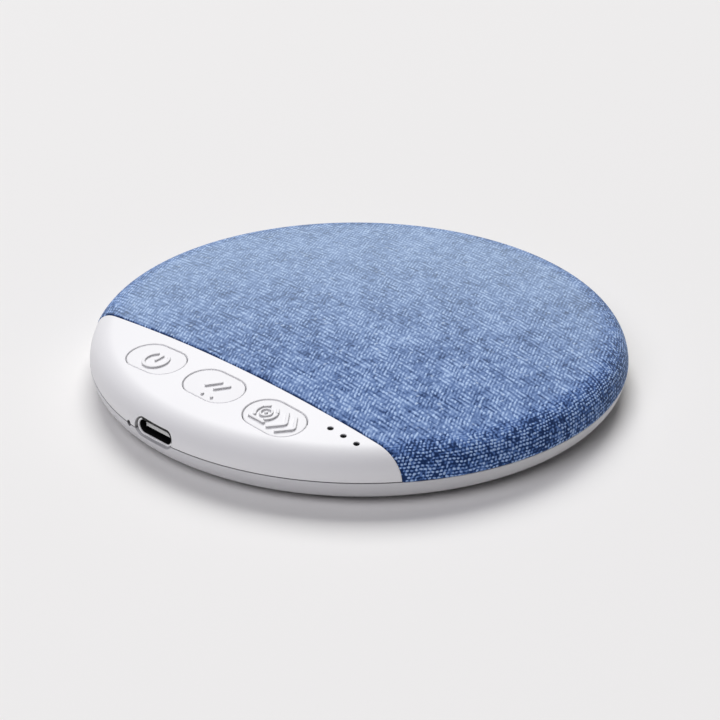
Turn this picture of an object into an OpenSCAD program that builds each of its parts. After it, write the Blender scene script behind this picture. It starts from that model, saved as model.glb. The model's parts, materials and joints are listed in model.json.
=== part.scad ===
// Pillow speaker: a low round speaker with a cloth top, a smooth control
// panel cut off by a straight chord, three push buttons and a charging socket.
// Millimetres, +Z up. The origin is on the floor under the middle of the disc,
// the control panel and the socket face -Y.

/* [Body] */
// Diameter of the disc
disc_d = 100; // [90:1:120]
// Height from the feet to the crown
total_h = 13.2; // [12.9:0.1:16]
// Height of the line where the two shells meet
part_z = 5; // [4.7:0.1:5.5]
// Radius of the shoulder between crown and side
shoulder_r = 5.2; // [4.8:0.1:6]
// Radius of the lower shell's outer edge
base_edge_r = 4.6; // [4.6:0.1:6]
// Thickness of the lower shell's side wall
wall = 1.5; // [1.3:0.1:1.8]
// Thickness of the lower shell's floor
floor_t = 1.5; // [1.3:0.1:1.7]
// Half height of the groove along the line where the shells meet
seam = 0.15; // [0.1:0.05:0.2]
// Height of the lip that centres the shells on each other
lip_h = 0.8; // [0.4:0.1:0.9]
// Thickness of that lip
lip_t = 0.7; // [0.5:0.1:0.9]
// Gap between the lip and the upper shells
lip_gap = 0.25; // [0.2:0.05:0.4]

/* [Cloth top] */
// Width of the panel, from the chord between cloth and panel to the disc's edge
panel_w = 19.75; // [19:0.25:20.5]
// Thickness of the cloth
cloth_t = 0.6; // [0.4:0.1:0.8]
// Room for the glue between cloth and grille
glue_t = 0.03; // [0.02:0.01:0.06]
// Thickness of the grille under the cloth
grille_t = 1.4; // [1.2:0.1:1.8]
// Height of the lower edge of the walls along the chord
rim_z = 6.4; // [6.2:0.1:7]
// Thickness of the panel's wall along the chord
rim_t = 1.2; // [0.8:0.1:1.2]
// Radius of one sound hole
sound_hole_r = 1.6; // [1.2:0.1:2]
// Distance between sound holes
sound_pitch = 5.2; // [4.8:0.1:5.6]
// Rings of sound holes round the middle one
sound_rings = 3; // [2:1:3]
// Width of one tab under the panel's chord wall
tab_w = 8; // [5:1:10]
// Distance between those tabs
tab_pitch = 20; // [16:1:24]
// Thickness of that tab
tab_t = 0.8; // [0.6:0.1:1]
// Height over which a tab is joined to the grille's wall
tab_root = 0.6; // [0.4:0.1:0.8]

/* [Buttons] */
// Length of a button's hole, along the chord
button_l = 12.65; // [11:0.05:13.2]
// Width of a button's hole
button_w = 8.45; // [7.5:0.05:8.8]
// Distance between buttons
button_pitch = 15.35; // [15:0.05:16]
// Sideways place of the middle button
button_mid_x = 0.75; // [0:0.05:1]
// Distance of the buttons' middle line from the chord
button_inset = 6.8; // [6.6:0.05:7]
// Gap round a button
button_gap = 0.2; // [0.16:0.01:0.3]
// How far a button's top lies under the panel's face
button_sink = 0.1; // [0.05:0.05:0.2]
// How far the flange sticks out past the cap
flange_w = 0.8; // [0.7:0.05:0.85]
// Thickness of the flange
flange_t = 0.8; // [0.6:0.1:0.8]
// Gap between flange and panel
flange_gap = 0.2; // [0.2:0.05:0.3]
// Radius of the stem under a button
stem_r = 1.6; // [1.3:0.1:2]
// Travel of a button
button_travel = 0.3; // [0.2:0.05:0.4]
// Height of a raised symbol
symbol_h = 0.35; // [0.15:0.05:0.4]
// Width of a symbol's lines
symbol_w = 0.6; // [0.45:0.05:0.65]

/* [Switches] */
// Side of a switch's body
switch_w = 5; // [4.5:0.1:5.5]
// Height of a switch's body
switch_h = 2; // [1.8:0.1:2.2]
// Radius of a switch's plunger
plunger_r = 1.25; // [1:0.05:1.5]
// How far a plunger stands above its body
plunger_up = 0.8; // [0.6:0.1:0.9]
// How far a plunger reaches into its body
plunger_in = 1; // [0.8:0.1:1]
// Gap round a plunger
plunger_gap = 0.25; // [0.2:0.05:0.3]

/* [Indicator lights] */
// Radius of an indicator hole
led_hole_r = 0.55; // [0.45:0.05:0.7]
// Distance between indicator holes
led_pitch = 3.1; // [2.8:0.1:3.2]
// Distance of the outer indicator hole from the disc's edge
led_edge = 4.5; // [4.4:0.1:5.5]
// Distance of the indicator holes from the chord
led_inset = 2.55; // [2.5:0.05:2.8]
// Radius of the baffle's light channels
baffle_hole_r = 0.75; // [0.7:0.05:0.8]
// Wall of the baffle round its channels
baffle_wall = 0.45; // [0.4:0.05:0.5]
// Roof of those channels under the panel
baffle_roof = 0.4; // [0.3:0.05:0.5]
// How far the baffle's collars end under the panel's face
collar_sink = 0.15; // [0.1:0.05:0.3]
// Gap between a collar and its indicator hole
collar_gap = 0.05; // [0.03:0.01:0.08]
// Radius of the bore through a collar
collar_hole_r = 0.2; // [0.15:0.05:0.25]
// Length of one light
led_l = 1; // [0.8:0.1:1.1]
// Width of one light
led_w = 0.6; // [0.5:0.1:0.8]
// Height of one light
led_h = 0.5; // [0.4:0.1:0.7]

/* [Charging socket] */
// Width of the socket's metal shell
usb_w = 8.94; // [8.9:0.02:9]
// Height of the socket's metal shell
usb_h = 3.2; // [3.16:0.02:3.26]
// Thickness of that shell
usb_t = 0.3; // [0.25:0.05:0.35]
// Length of the socket
usb_len = 6.9; // [6.6:0.1:7]
// Sideways place of the socket
usb_x = -1.3; // [-1.4:0.1:0.8]
// How far the socket's face lies inside the disc's edge
usb_recess = 0.8; // [0.75:0.05:0.9]
// Gap between socket and shells, above and below
usb_gap = 0.15; // [0.1:0.05:0.25]
// Gap between socket and shells at its ends
usb_end_gap = 0.5; // [0.3:0.05:0.6]
// Length of the block at the back of the socket
usb_block_len = 1.75; // [1.5:0.05:2]
// Width of the tongue
tongue_w = 6.7; // [6.6:0.05:6.8]
// Thickness of the tongue
tongue_t = 0.7; // [0.65:0.05:0.75]
// How far the tongue's end lies behind the socket's face
tongue_back = 1; // [0.6:0.05:1.1]
// Distance between contacts
contact_pitch = 0.5; // [0.5:0.01:0.54]
// Width of a contact
contact_w = 0.25; // [0.2:0.01:0.3]
// Length of a contact
contact_l = 3.4; // [3:0.1:3.5]
// Thickness of a contact
contact_t = 0.06; // [0.05:0.01:0.1]
// Contacts on one face of the tongue
contact_count = 12; // [10:1:12]

/* [Microphone] */
// Radius of the microphone's hole on the line between the shells
mic_hole_r = 0.55; // [0.4:0.05:0.6]
// Sideways place of the microphone
mic_x = -8.1; // [-9:0.1:-7.8]
// Width of the microphone
mic_w = 3.2; // [2.8:0.1:3.4]
// Depth of the microphone
mic_d = 2.2; // [2:0.1:2.6]
// Height of the microphone
mic_h = 1.6; // [1.4:0.1:2]

/* [Circuit board] */
// Thickness of the board
board_t = 1; // [0.8:0.1:1]
// Height of the board's posts over the floor
board_stand = 1.2; // [1:0.1:1.3]
// How far the board's straight edge lies behind the chord
board_back = 2.75; // [2.5:0.25:3.25]
// Gap between the board and the lip
board_gap = 0.25; // [0.2:0.05:0.4]
// Radius of a board post
post_r = 1.8; // [1.6:0.1:2]
// Distance of the board screws from the board's straight edge
board_screw_in = 2.2; // [2:0.1:2.4]
// Sideways place of the left board screw
board_screw_left_x = -24; // [-24.2:0.1:-23.6]
// Sideways place of the middle board screw
board_screw_mid_x = 5.5; // [5:0.1:6.5]
// Distance of the right board screw from the board's round edge
board_screw_edge = 1.7; // [1.7:0.1:2.5]
// Radius of a board screw's head
board_head_r = 1.5; // [1.3:0.05:1.6]
// Height of a board screw's head
board_head_h = 0.9; // [0.7:0.1:1]
// Distance of the chips' middle line from the board's straight edge
chip_in = 2.9; // [2.8:0.1:3]
// Side of the main chip
main_chip_w = 5; // [4:0.1:5]
// Sideways place of the main chip
main_chip_x = -8.5; // [-9:0.1:-8]
// Side of the amplifier chip
amp_chip_w = 4; // [3:0.1:4.5]
// Sideways place of the amplifier chip
amp_chip_x = 12; // [11:0.1:16]
// Side of the charging chip
charge_chip_w = 3; // [2:0.1:3]
// Sideways place of the charging chip
charge_chip_x = -19; // [-19.5:0.1:-18.5]
// Height of the chips
chip_h = 0.9; // [0.7:0.1:1]
// Length of the crystal
crystal_l = 3.2; // [2.5:0.1:3.4]
// Width of the crystal
crystal_w = 2.5; // [2:0.1:2.6]
// Height of the crystal
crystal_h = 0.8; // [0.6:0.1:1]
// Sideways place of the crystal
crystal_x = -14; // [-14.4:0.1:-13.6]

/* [Screws and feet] */
// Distance of the case screws from the disc's edge
screw_inset = 5.4; // [5.3:0.1:5.8]
// Gap between the front case screws' bosses and the baffle of the indicator lights
boss_gap = 0.2; // [0.15:0.05:0.4]
// Angle of the rear case screws from the rear
rear_screw_a = 30; // [24:1:34]
// Radius of a screw's shank
shank_r = 0.85; // [0.75:0.05:0.95]
// Radius of a case screw's head
head_r = 1.6; // [1.5:0.05:1.7]
// Height of a case screw's head
head_h = 1.1; // [0.9:0.1:1.3]
// Half width of the cross recess in a screw's head
drive_w = 0.22; // [0.18:0.02:0.26]
// Length of one arm of the cross recess
drive_l = 0.9; // [0.8:0.05:1]
// Depth of the cross recess
drive_d = 0.5; // [0.4:0.05:0.6]
// Depth of the holes that the screw heads lie in
counterbore = 2; // [1.8:0.1:2.2]
// Gap round a screw's head
head_gap = 0.2; // [0.15:0.05:0.3]
// Gap round a shank where it passes through
pass_gap = 0.2; // [0.15:0.05:0.3]
// Gap round a shank where it holds
thread_gap = 0.02; // [0.01:0.01:0.03]
// Radius of a case screw's boss
boss_r = 1.6; // [1.5:0.05:1.7]
// Wall of that boss round the screw's head
boss_wall = 1; // [0.8:0.1:1.1]
// How far a case screw reaches into the upper shells
screw_reach = 3.4; // [2.8:0.1:3.4]
// Room past the end of a screw in its hole
hole_room = 0.2; // [0.1:0.05:0.3]
// Radius of a foot
foot_r = 4; // [3:0.1:5]
// How far a foot stands out below the base
foot_proud = 0.5; // [0.4:0.05:0.7]
// How deep a foot is let into the base
foot_in = 0.5; // [0.4:0.05:0.7]
// Gap round a foot in the base
foot_gap = 0.1; // [0.05:0.05:0.2]
// Distance of the feet from the disc's edge
foot_inset = 11.8; // [11.5:0.1:13]
// Bevel round a foot
foot_bevel = 0.25; // [0.1:0.05:0.35]

/* [Battery] */
// Width of the battery
bat_w = 20; // [16:0.5:20.5]
// Length of the battery
bat_l = 30; // [26:0.5:31]
// Thickness of the battery
bat_t = 4.6; // [3.8:0.1:4.8]
// Gap between the battery's outer corners and the lower shell's lip
bat_wall_gap = 1.25; // [1:0.05:1.5]
// Place of the battery's middle along Y
bat_y = 2; // [1:0.25:3]
// Radius of the battery's corners
bat_corner_r = 1.5; // [1:0.1:2]
// Thickness of the tape under the battery
tape_t = 0.4; // [0.2:0.1:0.5]
// Margin of that tape inside the battery's outline
tape_in = 2; // [1:0.25:4]
// Thickness of the battery's own small board
cell_board_t = 0.8; // [0.6:0.1:1]
// Margin of that board inside the battery's width
cell_board_in = 2; // [1.5:0.1:3]
// Height of that board
cell_board_h = 3.6; // [2.4:0.1:3.8]
// Thickness of the ribs beside the battery
rib_t = 1; // [0.8:0.1:1.2]
// Height of the ribs beside the battery
rib_h = 2.5; // [2:0.1:3]
// Length of the ribs beside the battery
rib_l = 24; // [16:0.5:26]
// Gap between ribs and battery
rib_gap = 0.3; // [0.2:0.05:0.5]
// Radius of a wire
wire_r = 0.45; // [0.35:0.05:0.5]
// Half the distance between a pair of wires
wire_half = 1.6; // [1.2:0.1:2]
// Bend radius of a wire
wire_bend = 1.5; // [1:0.1:2]
// Length of wire that lies on the board
wire_on = 1.3; // [1:0.1:1.5]
// Distance of the battery's wires from the board's round edge
wire_edge = 3.7; // [3.4:0.1:3.8]

/* [Speaker driver] */
// Radius of the driver's flange
drv_r = 20; // [19:0.1:20.5]
// Place of the driver's middle along Y
drv_y = 8; // [7:0.25:9]
// Depth of the driver
drv_depth = 6.4; // [6.2:0.1:6.5]
// Thickness of the basket's sheet
sheet_t = 0.8; // [0.6:0.05:0.9]
// Width of the flange
drv_flange_w = 3; // [2.8:0.1:3.2]
// Depth of the basket
basket_depth = 3.6; // [3.4:0.05:3.7]
// Width of a window in the basket's side
window_w = 8; // [6:0.5:9]
// Margin over and under such a window
window_in = 0.3; // [0.2:0.05:0.4]
// Width of the basket's floor round the yoke
basket_floor_w = 3.1; // [2.9:0.1:3.3]
// Sideways thickness of the basket's sloping side
basket_side_t = 0.6; // [0.5:0.05:0.7]
// Outer radius of the yoke
yoke_r = 9.7; // [9.5:0.05:10]
// Thickness of the yoke's wall
yoke_wall = 1.2; // [1:0.05:1.3]
// Thickness of the yoke's floor
yoke_floor = 1; // [0.8:0.05:1.1]
// Radius of the magnet and its pole plate
magnet_r = 6.8; // [6.5:0.05:6.85]
// Thickness of the magnet
magnet_t = 1.2; // [1:0.05:1.3]
// Thickness of the pole plate
pole_t = 0.8; // [0.6:0.05:0.9]
// Gap between the pole plate and the voice coil
coil_gap = 0.4; // [0.35:0.05:0.45]
// Thickness of the voice coil's former
former_t = 0.25; // [0.2:0.05:0.3]
// Thickness of the voice coil's winding
winding_t = 0.4; // [0.3:0.05:0.45]
// Height of the voice coil's winding
winding_h = 1.6; // [1.2:0.1:1.7]
// Travel of the cone each way
cone_travel = 0.4; // [0.2:0.05:0.4]
// Gap between the voice coil at its lowest and the yoke's floor
coil_room = 0.2; // [0.15:0.05:0.3]
// Thickness of the cone
cone_t = 0.3; // [0.2:0.05:0.4]
// Depth of the cone's inner edge under the flange's top
cone_in_z = 1; // [0.9:0.05:1.1]
// Depth of the cone's outer edge under the flange's top
cone_out_z = 0.35; // [0.35:0.05:0.4]
// Rise of the dust cap
cap_rise = 1.2; // [0.8:0.1:1.4]
// Width of the roll of the surround
roll_r = 0.9; // [0.8:0.05:0.95]
// Thickness of the surround
roll_t = 0.25; // [0.2:0.05:0.3]
// Gap between that roll and the driver's flange
roll_gap = 0.3; // [0.2:0.05:0.4]
// Width of the surround's inner rim
roll_in_w = 0.6; // [0.5:0.05:0.7]
// Width of the surround's rim on the flange
roll_out_w = 0.9; // [0.7:0.05:1]
// Thickness of the foam gasket
gasket_t = 0.4; // [0.3:0.05:0.5]
// Gap between the gasket and the surround's rim
gasket_gap = 0.2; // [0.1:0.05:0.3]
// Least height of the seat over the gasket
seat_h = 0.35; // [0.25:0.05:0.4]
// Distance of the driver screws from the flange's edge
clamp_off = 2.6; // [2.5:0.05:2.75]
// Radius of the driver screws' washer heads
clamp_head_r = 3; // [2.9:0.05:3.1]
// Thickness of those heads
clamp_head_h = 0.8; // [0.6:0.1:0.9]
// Radius of the driver screws' bosses
clamp_boss_r = 2.2; // [2:0.05:2.3]
// Reach of the driver screws
clamp_reach = 2; // [1.6:0.1:2.2]
// Half length of the terminal board
tag_half = 4; // [3.2:0.1:4.5]
// Width of the terminal board
tag_w = 2; // [1.8:0.1:2.1]
// Thickness of the terminal board
tag_t = 0.8; // [0.6:0.1:0.8]
// How far the terminal board lies inside the flange's edge
tag_in = 0.1; // [0.1:0.1:0.5]

/* [Symbols] */
// Place of the on/off sign from the middle of its button
power_place = [0.45, -0.45];
// Radius of the on/off sign's ring
power_r = 2.3; // [1.8:0.1:2.4]
// Half the angle of the gap in that ring
power_gap_a = 40; // [25:1:45]
// Length of the on/off sign's bar
power_bar = 1.6; // [1.4:0.1:2.4]
// Ends of the leaning bars, from the middle of their button
pause_bars = [[[-1.2, -0.75], [0.45, 1.4]], [[0.95, -0.7], [2.5, 1.4]]];
// Places of the two dots under those bars
pause_dots = [[0.25, -3], [2.45, -2.85]];
// Place of the ringed dot from the middle of its button
mode_place = [-2.1, 0];
// Radius of the ring round the dot
mode_r = 1.25; // [1:0.05:1.3]
// Radius of the dot
mode_dot_r = 0.3; // [0.2:0.05:0.4]
// Radius of the two arcs beside the ring
mode_arc_r = 2; // [1.9:0.05:2.1]
// Angles that an arc runs between, up from the horizontal
mode_arc_a = [-50, 30];
// Ends of the short stroke over the ring's right side
mode_tick = [[1.6, 1.2], [1, 1.8]];
// Half length of the line under the ring
mode_line = 1.7; // [1.4:0.1:1.9]
// Depth of that line under the ring's middle
mode_line_y = 2.3; // [2.2:0.1:2.6]
// Tip and tails of the first arrow, from the middle of the button
mode_tip = [3, -0.1];
mode_tails = [[1, 2.3], [1, -2.6]];
// Step from the first arrow to the second
mode_step = 2; // [1.6:0.1:2]

/* [Hidden] */
$fn = 64;
// Sides of the solids of revolution and of the crown's large arc
turn_fn = 180;
crown_fn = 720;
// Longer than anything in the model
far = 200;

disc_r = disc_d / 2;
chord_y = disc_r - panel_w;
board_y = chord_y - board_back;
top_wall = cloth_t + grille_t;
floor_z = foot_proud + floor_t;
board_low_z = floor_z + board_stand;
board_top_z = board_low_z + board_t;
lip_out_r = disc_r - top_wall - lip_gap;
lip_in_r = lip_out_r - lip_t;
board_r = lip_in_r - board_gap;

// The crown's arc runs into the shoulder's arc. Its radius is a hair under the
// tangent one, so that the two arcs cross cleanly.
crown_rise = total_h - part_z;
shoulder_in = disc_r - shoulder_r;
tangent_r = (shoulder_in ^ 2 + crown_rise ^ 2 - shoulder_r ^ 2) / (2 * (crown_rise - shoulder_r));
crown_r = 0.998 * tangent_r;
crown_z = total_h - crown_r;
blend_r = shoulder_in * crown_r / (crown_r - shoulder_r);
// Height of the crown, set in by some distance, over a radius
function crown_height(r, inset) = crown_z + sqrt((crown_r - inset) ^ 2 - r ^ 2);

button_y = -chord_y - button_inset;
button_xs = [for (i = [-1:1]) button_mid_x + i * button_pitch];
plunger_z = board_top_z + switch_h + plunger_up;
led_y = -chord_y - led_inset;
led_x = sqrt((disc_r - led_edge) ^ 2 - led_y ^ 2) - led_pitch;
led_xs = [for (i = [-1:1]) led_x + i * led_pitch];
baffle_half = baffle_hole_r + baffle_wall;
usb_z = board_top_z + usb_h / 2;
usb_front = -disc_r + usb_recess;
usb_rear = usb_front + usb_len;
usb_in_w = usb_w - 2 * usb_t;
usb_in_h = usb_h - 2 * usb_t;
mic_front = -sqrt(board_r ^ 2 - (abs(mic_x) + mic_w / 2) ^ 2);
chip_y = -board_y - chip_in;
board_screw_y = -board_y - board_screw_in;

screw_ring = disc_r - screw_inset;
front_screw_y = led_y - baffle_half - boss_gap - boss_r;
front_screw_x = sqrt(screw_ring ^ 2 - front_screw_y ^ 2);
front_screws = [for (s = [-1, 1]) [s * front_screw_x, front_screw_y]];
rear_screws = [for (s = [-1, 1]) screw_ring * [s * sin(rear_screw_a), cos(rear_screw_a)]];
case_screw_places = concat(front_screws, rear_screws);
ledge_z = foot_proud + counterbore;
screw_top_z = part_z + screw_reach;
board_screw_right_x = sqrt((board_r - board_screw_edge) ^ 2 - board_screw_y ^ 2);
board_screw_xs = [board_screw_left_x, board_screw_mid_x, board_screw_right_x];
board_screw_places = [for (x = board_screw_xs) [x, board_screw_y]];
foot_ring = disc_r - foot_inset;
foot_places = [for (a = [45:90:315]) foot_ring * [cos(a), sin(a)]];

bat_z = floor_z + tape_t;
bat_front = bat_y - bat_l / 2;
bat_x = bat_w / 2 - sqrt((lip_in_r - bat_wall_gap) ^ 2 - (bat_y + bat_l / 2) ^ 2);
wire_z = board_top_z + wire_r;
wire_end = -board_y - wire_on;
bat_wire_x = wire_half - sqrt((board_r - wire_edge) ^ 2 - wire_end ^ 2);

drv_z = crown_height(drv_y + drv_r, top_wall) - seat_h - gasket_t;
flange_in = drv_r - drv_flange_w;
yoke_in = yoke_r - yoke_wall;
yoke_z = -drv_depth;
magnet_z = yoke_z + yoke_floor;
pole_z = magnet_z + magnet_t;
former_r = magnet_r + coil_gap;
coil_z = magnet_z + cone_travel + coil_room;
roll_mid = flange_in - roll_r - roll_gap;
cone_r = roll_mid - roll_r - roll_in_w / 2;
clamp_ring = drv_r + clamp_off;
clamp_places = [for (a = [90, 210, 330]) [0, drv_y] + clamp_ring * [cos(a), sin(a)]];
tag_y = drv_y - drv_r + tag_in;

// Small distance by which a cut passes a face
eps = 0.5;

// Everything between two planes across Y, and everything below a height
module slab_y(low, high) {
  translate([-far, low, -far]) cube([2 * far, high - low, 2 * far]);
}
module below(z) {
  translate([-far, -far, z - far]) cube([2 * far, 2 * far, far]);
}
// A slot with round ends, length along X
module slot_2d(l, w) {
  square([l - w, w], center = true);
  for (s = [-1, 1]) translate([s * (l - w) / 2, 0]) circle(d = w);
}
// Half section of the upper body, set in all round by a distance
module crown_2d(inset, low) {
  intersection() {
    translate([0, low]) square([disc_r + 1, total_h]);
    union() {
      intersection() {
        translate([0, crown_z]) circle(crown_r - inset, $fn = crown_fn);
        square([blend_r, 2 * total_h]);
      }
      translate([shoulder_in, part_z]) circle(shoulder_r - inset);
    }
  }
}
module crown(inset) {
  rotate_extrude($fn = turn_fn) crown_2d(inset, part_z);
}
// The upper body with the groove along its lower edge
module grooved_crown() {
  rotate_extrude($fn = turn_fn) difference() {
    crown_2d(0, part_z);
    seam_2d();
  }
}
// The same, run on downwards, to cut a hollow that is open below
module hollow(inset) {
  rotate_extrude($fn = turn_fn) crown_2d(inset, part_z - 2);
}
// Half section of the lower body, set in by the wall and the floor
module base_2d(side, bottom, top) {
  intersection() {
    translate([0, foot_proud + bottom]) square([disc_r + 1, top - foot_proud - bottom]);
    union() {
      square([disc_r - base_edge_r, total_h]);
      translate([disc_r - base_edge_r, part_z]) circle(base_edge_r - side);
    }
  }
}
// Wedge that opens the groove along the line where the shells meet
module seam_2d() {
  polygon([[disc_r - seam, part_z], [disc_r + 1, part_z - 1 - seam], [disc_r + 1, part_z + 1 + seam]]);
}
// Opening for the socket, and the microphone's hole, through either shell
module port_cuts() {
  translate([usb_x, -disc_r - eps, usb_z]) rotate([-90, 0, 0])
    linear_extrude(disc_r + eps - sqrt(board_r ^ 2 - usb_w ^ 2))
      slot_2d(usb_w + 2 * usb_end_gap, usb_h + 2 * usb_gap);
  translate([mic_x, -disc_r - eps, part_z]) rotate([-90, 0, 0]) rotate(45)
    cylinder(h = disc_r + eps + mic_front, r = mic_hole_r);
}
// Ring of a rectangular section
module ring(r_in, r_out, low, h) {
  translate([0, 0, low]) difference() {
    cylinder(h = h, r = r_out);
    translate([0, 0, -eps]) cylinder(h = h + 2 * eps, r = r_in);
  }
}
module rod(place, r, low, high) {
  translate([place[0], place[1], low]) cylinder(h = high - low, r = r);
}
module block(x, y, z, l, w, h) {
  translate([x - l / 2, y - w / 2, z]) cube([l, w, h]);
}
// Boss that comes down from the upper body to some height
module hung_boss(place, r, low, inset) {
  intersection() {
    crown(inset);
    rod(place, r, low, total_h);
  }
}
// Screw with its head's seat at z = 0 and its shank pointing up
module screw(r_head, h_head, reach) {
  difference() {
    union() {
      translate([0, 0, -h_head]) cylinder(h = h_head, r = r_head);
      cylinder(h = reach, r = shank_r);
    }
    for (a = [0, 90]) rotate(a)
      translate([-drive_l, -drive_w, -h_head - eps]) cube([2 * drive_l, 2 * drive_w, drive_d + eps]);
  }
}

module bottom_shell() {
  color("whitesmoke") difference() {
    union() {
      rotate_extrude($fn = turn_fn) difference() {
        base_2d(0, 0, part_z);
        base_2d(wall, floor_t, part_z + 1);
        seam_2d();
      }
      rotate_extrude($fn = turn_fn) translate([lip_in_r, board_low_z])
        square([lip_t, part_z + lip_h - board_low_z]);
      rotate_extrude($fn = turn_fn) intersection() {
        base_2d(wall / 2, floor_t / 2, part_z);
        translate([lip_in_r, board_low_z]) square([disc_r, part_z - board_low_z]);
      }
      for (p = case_screw_places) {
        rod(p, boss_r, floor_z - eps, part_z);
        intersection() {
          rod(p, head_r + head_gap + boss_wall, floor_z - floor_t / 2, ledge_z + eps);
          rotate_extrude($fn = turn_fn) base_2d(wall / 2, floor_t / 2, part_z);
        }
      }
      for (p = board_screw_places) rod(p, post_r, floor_z - eps, board_low_z);
      for (s = [-1, 1])
        translate([bat_x + s * (bat_w / 2 + rib_gap + rib_t / 2) - rib_t / 2, bat_y - rib_l / 2, floor_z - eps])
          cube([rib_t, rib_l, rib_h + eps]);
    }
    for (p = case_screw_places) {
      rod(p, shank_r + pass_gap, foot_proud - eps, part_z + eps);
      rod(p, head_r + head_gap, foot_proud - eps, ledge_z);
    }
    for (p = board_screw_places)
      rod(p, shank_r + thread_gap, floor_z - floor_t / 2, board_low_z + eps);
    for (p = foot_places) rod(p, foot_r + foot_gap, foot_proud - eps, foot_proud + foot_in);
    port_cuts();
  }
}

module control_panel() {
  color("white") difference() {
    union() {
      difference() {
        intersection() {
          grooved_crown();
          slab_y(-far, -chord_y);
        }
        intersection() {
          hollow(top_wall);
          slab_y(-far, -chord_y - rim_t);
        }
        intersection() {
          hollow(top_wall);
          below(rim_z);
        }
      }
      for (p = front_screws) hung_boss(p, boss_r, part_z, top_wall / 2);
    }
    for (x = button_xs)
      translate([x, button_y, part_z]) linear_extrude(total_h) slot_2d(button_l, button_w);
    for (x = led_xs) rod([x, led_y], led_hole_r, part_z, 2 * total_h);
    for (p = front_screws) rod(p, shank_r + thread_gap, part_z - eps, screw_top_z + hole_room);
    port_cuts();
  }
}

module speaker_grille() {
  near = -chord_y + cloth_t;
  color("dimgray") difference() {
    union() {
      difference() {
        intersection() {
          crown(cloth_t);
          slab_y(near, far);
        }
        intersection() {
          hollow(top_wall);
          slab_y(near + grille_t, far);
        }
        intersection() {
          hollow(top_wall);
          below(rim_z);
        }
      }
      // Tabs that the panel's chord wall sits on
      for (x = tab_pitch * [-1, 0, 1]) {
        translate([x - tab_w / 2, -chord_y - rim_t, rim_z - tab_t])
          cube([tab_w, rim_t + cloth_t + grille_t, tab_t]);
        translate([x - tab_w / 2, near, rim_z - tab_t]) cube([tab_w, grille_t, tab_t + tab_root]);
      }
      // Seat round the driver, and the bosses that its screws go into
      intersection() {
        crown(cloth_t + grille_t / 2);
        translate([0, drv_y, 0])
          ring(flange_in + roll_out_w + gasket_gap, drv_r, drv_z + gasket_t, total_h);
      }
      for (p = clamp_places) hung_boss(p, clamp_boss_r, drv_z - sheet_t, cloth_t + grille_t / 2);
      for (p = rear_screws) hung_boss(p, boss_r, part_z, cloth_t + grille_t / 2);
    }
    for (i = [-sound_rings:sound_rings]) for (j = [-sound_rings:sound_rings])
      if (abs(i + j) <= sound_rings)
        rod([sound_pitch * (i + j / 2), drv_y + sound_pitch * j * sqrt(3) / 2],
            sound_hole_r, drv_z + gasket_t, 2 * total_h);
    for (p = clamp_places)
      rod(p, shank_r + thread_gap, drv_z - sheet_t - eps, drv_z - sheet_t + clamp_reach + hole_room);
    for (p = rear_screws) rod(p, shank_r + thread_gap, part_z - eps, screw_top_z + hole_room);
  }
}

module fabric_cover() {
  color("cornflowerblue") difference() {
    intersection() {
      crown(0);
      slab_y(-chord_y, far);
    }
    intersection() {
      hollow(cloth_t - glue_t);
      slab_y(-chord_y + cloth_t - glue_t, far);
    }
    intersection() {
      hollow(cloth_t - glue_t);
      below(rim_z);
    }
  }
}

module rubber_feet() {
  color("gray") for (p = foot_places) translate([p[0], p[1], 0]) {
    cylinder(h = foot_bevel, r1 = foot_r - foot_bevel, r2 = foot_r);
    translate([0, 0, foot_bevel]) cylinder(h = foot_proud + foot_in - foot_bevel, r = foot_r);
  }
}

module case_screws() {
  color("silver") for (p = case_screw_places) translate([p[0], p[1], ledge_z])
    screw(head_r, head_h, screw_top_z - ledge_z);
}

// Strokes of the symbols, round at their ends
module stroke(a, b) {
  run = b - a;
  translate(a) rotate(atan2(run[1], run[0])) {
    translate([0, -symbol_w / 2]) square([norm(run), symbol_w]);
    circle(d = symbol_w);
    translate([norm(run), 0]) circle(d = symbol_w);
  }
}
// Part of a ring, from one angle to another, less than a half turn
module arc_2d(r, from, to) {
  intersection() {
    difference() {
      circle(r + symbol_w / 2);
      circle(r - symbol_w / 2);
    }
    polygon([[0, 0], 2 * r * [cos(from), sin(from)],
             3 * r * [cos((from + to) / 2), sin((from + to) / 2)], 2 * r * [cos(to), sin(to)]]);
  }
}
module power_symbol() {
  sweep = (360 - 2 * power_gap_a) / 4;
  translate(power_place) {
    for (i = [0:3]) arc_2d(power_r, 90 + power_gap_a + i * sweep, 91 + power_gap_a + (i + 1) * sweep);
    stroke([0, 0], [0, power_bar]);
  }
}
module pause_symbol() {
  for (bar = pause_bars) stroke(bar[0], bar[1]);
  for (dot = pause_dots) translate(dot) circle(d = 1.15 * symbol_w);
}
module mode_symbol() {
  translate(mode_place) {
    difference() {
      circle(mode_r);
      circle(mode_r - 0.75 * symbol_w);
    }
    circle(mode_dot_r);
    for (s = [0, 1]) mirror([s, 0]) {
      arc_2d(mode_arc_r, mode_arc_a[0], mode_arc_a[1]);
      stroke(mode_tick[0], mode_tick[1]);
    }
    stroke([-mode_line, -mode_line_y], [mode_line, -mode_line_y]);
  }
  for (i = [0, 1]) translate([i * mode_step, 0])
    for (tail = mode_tails) stroke(tail, mode_tip);
}
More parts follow.
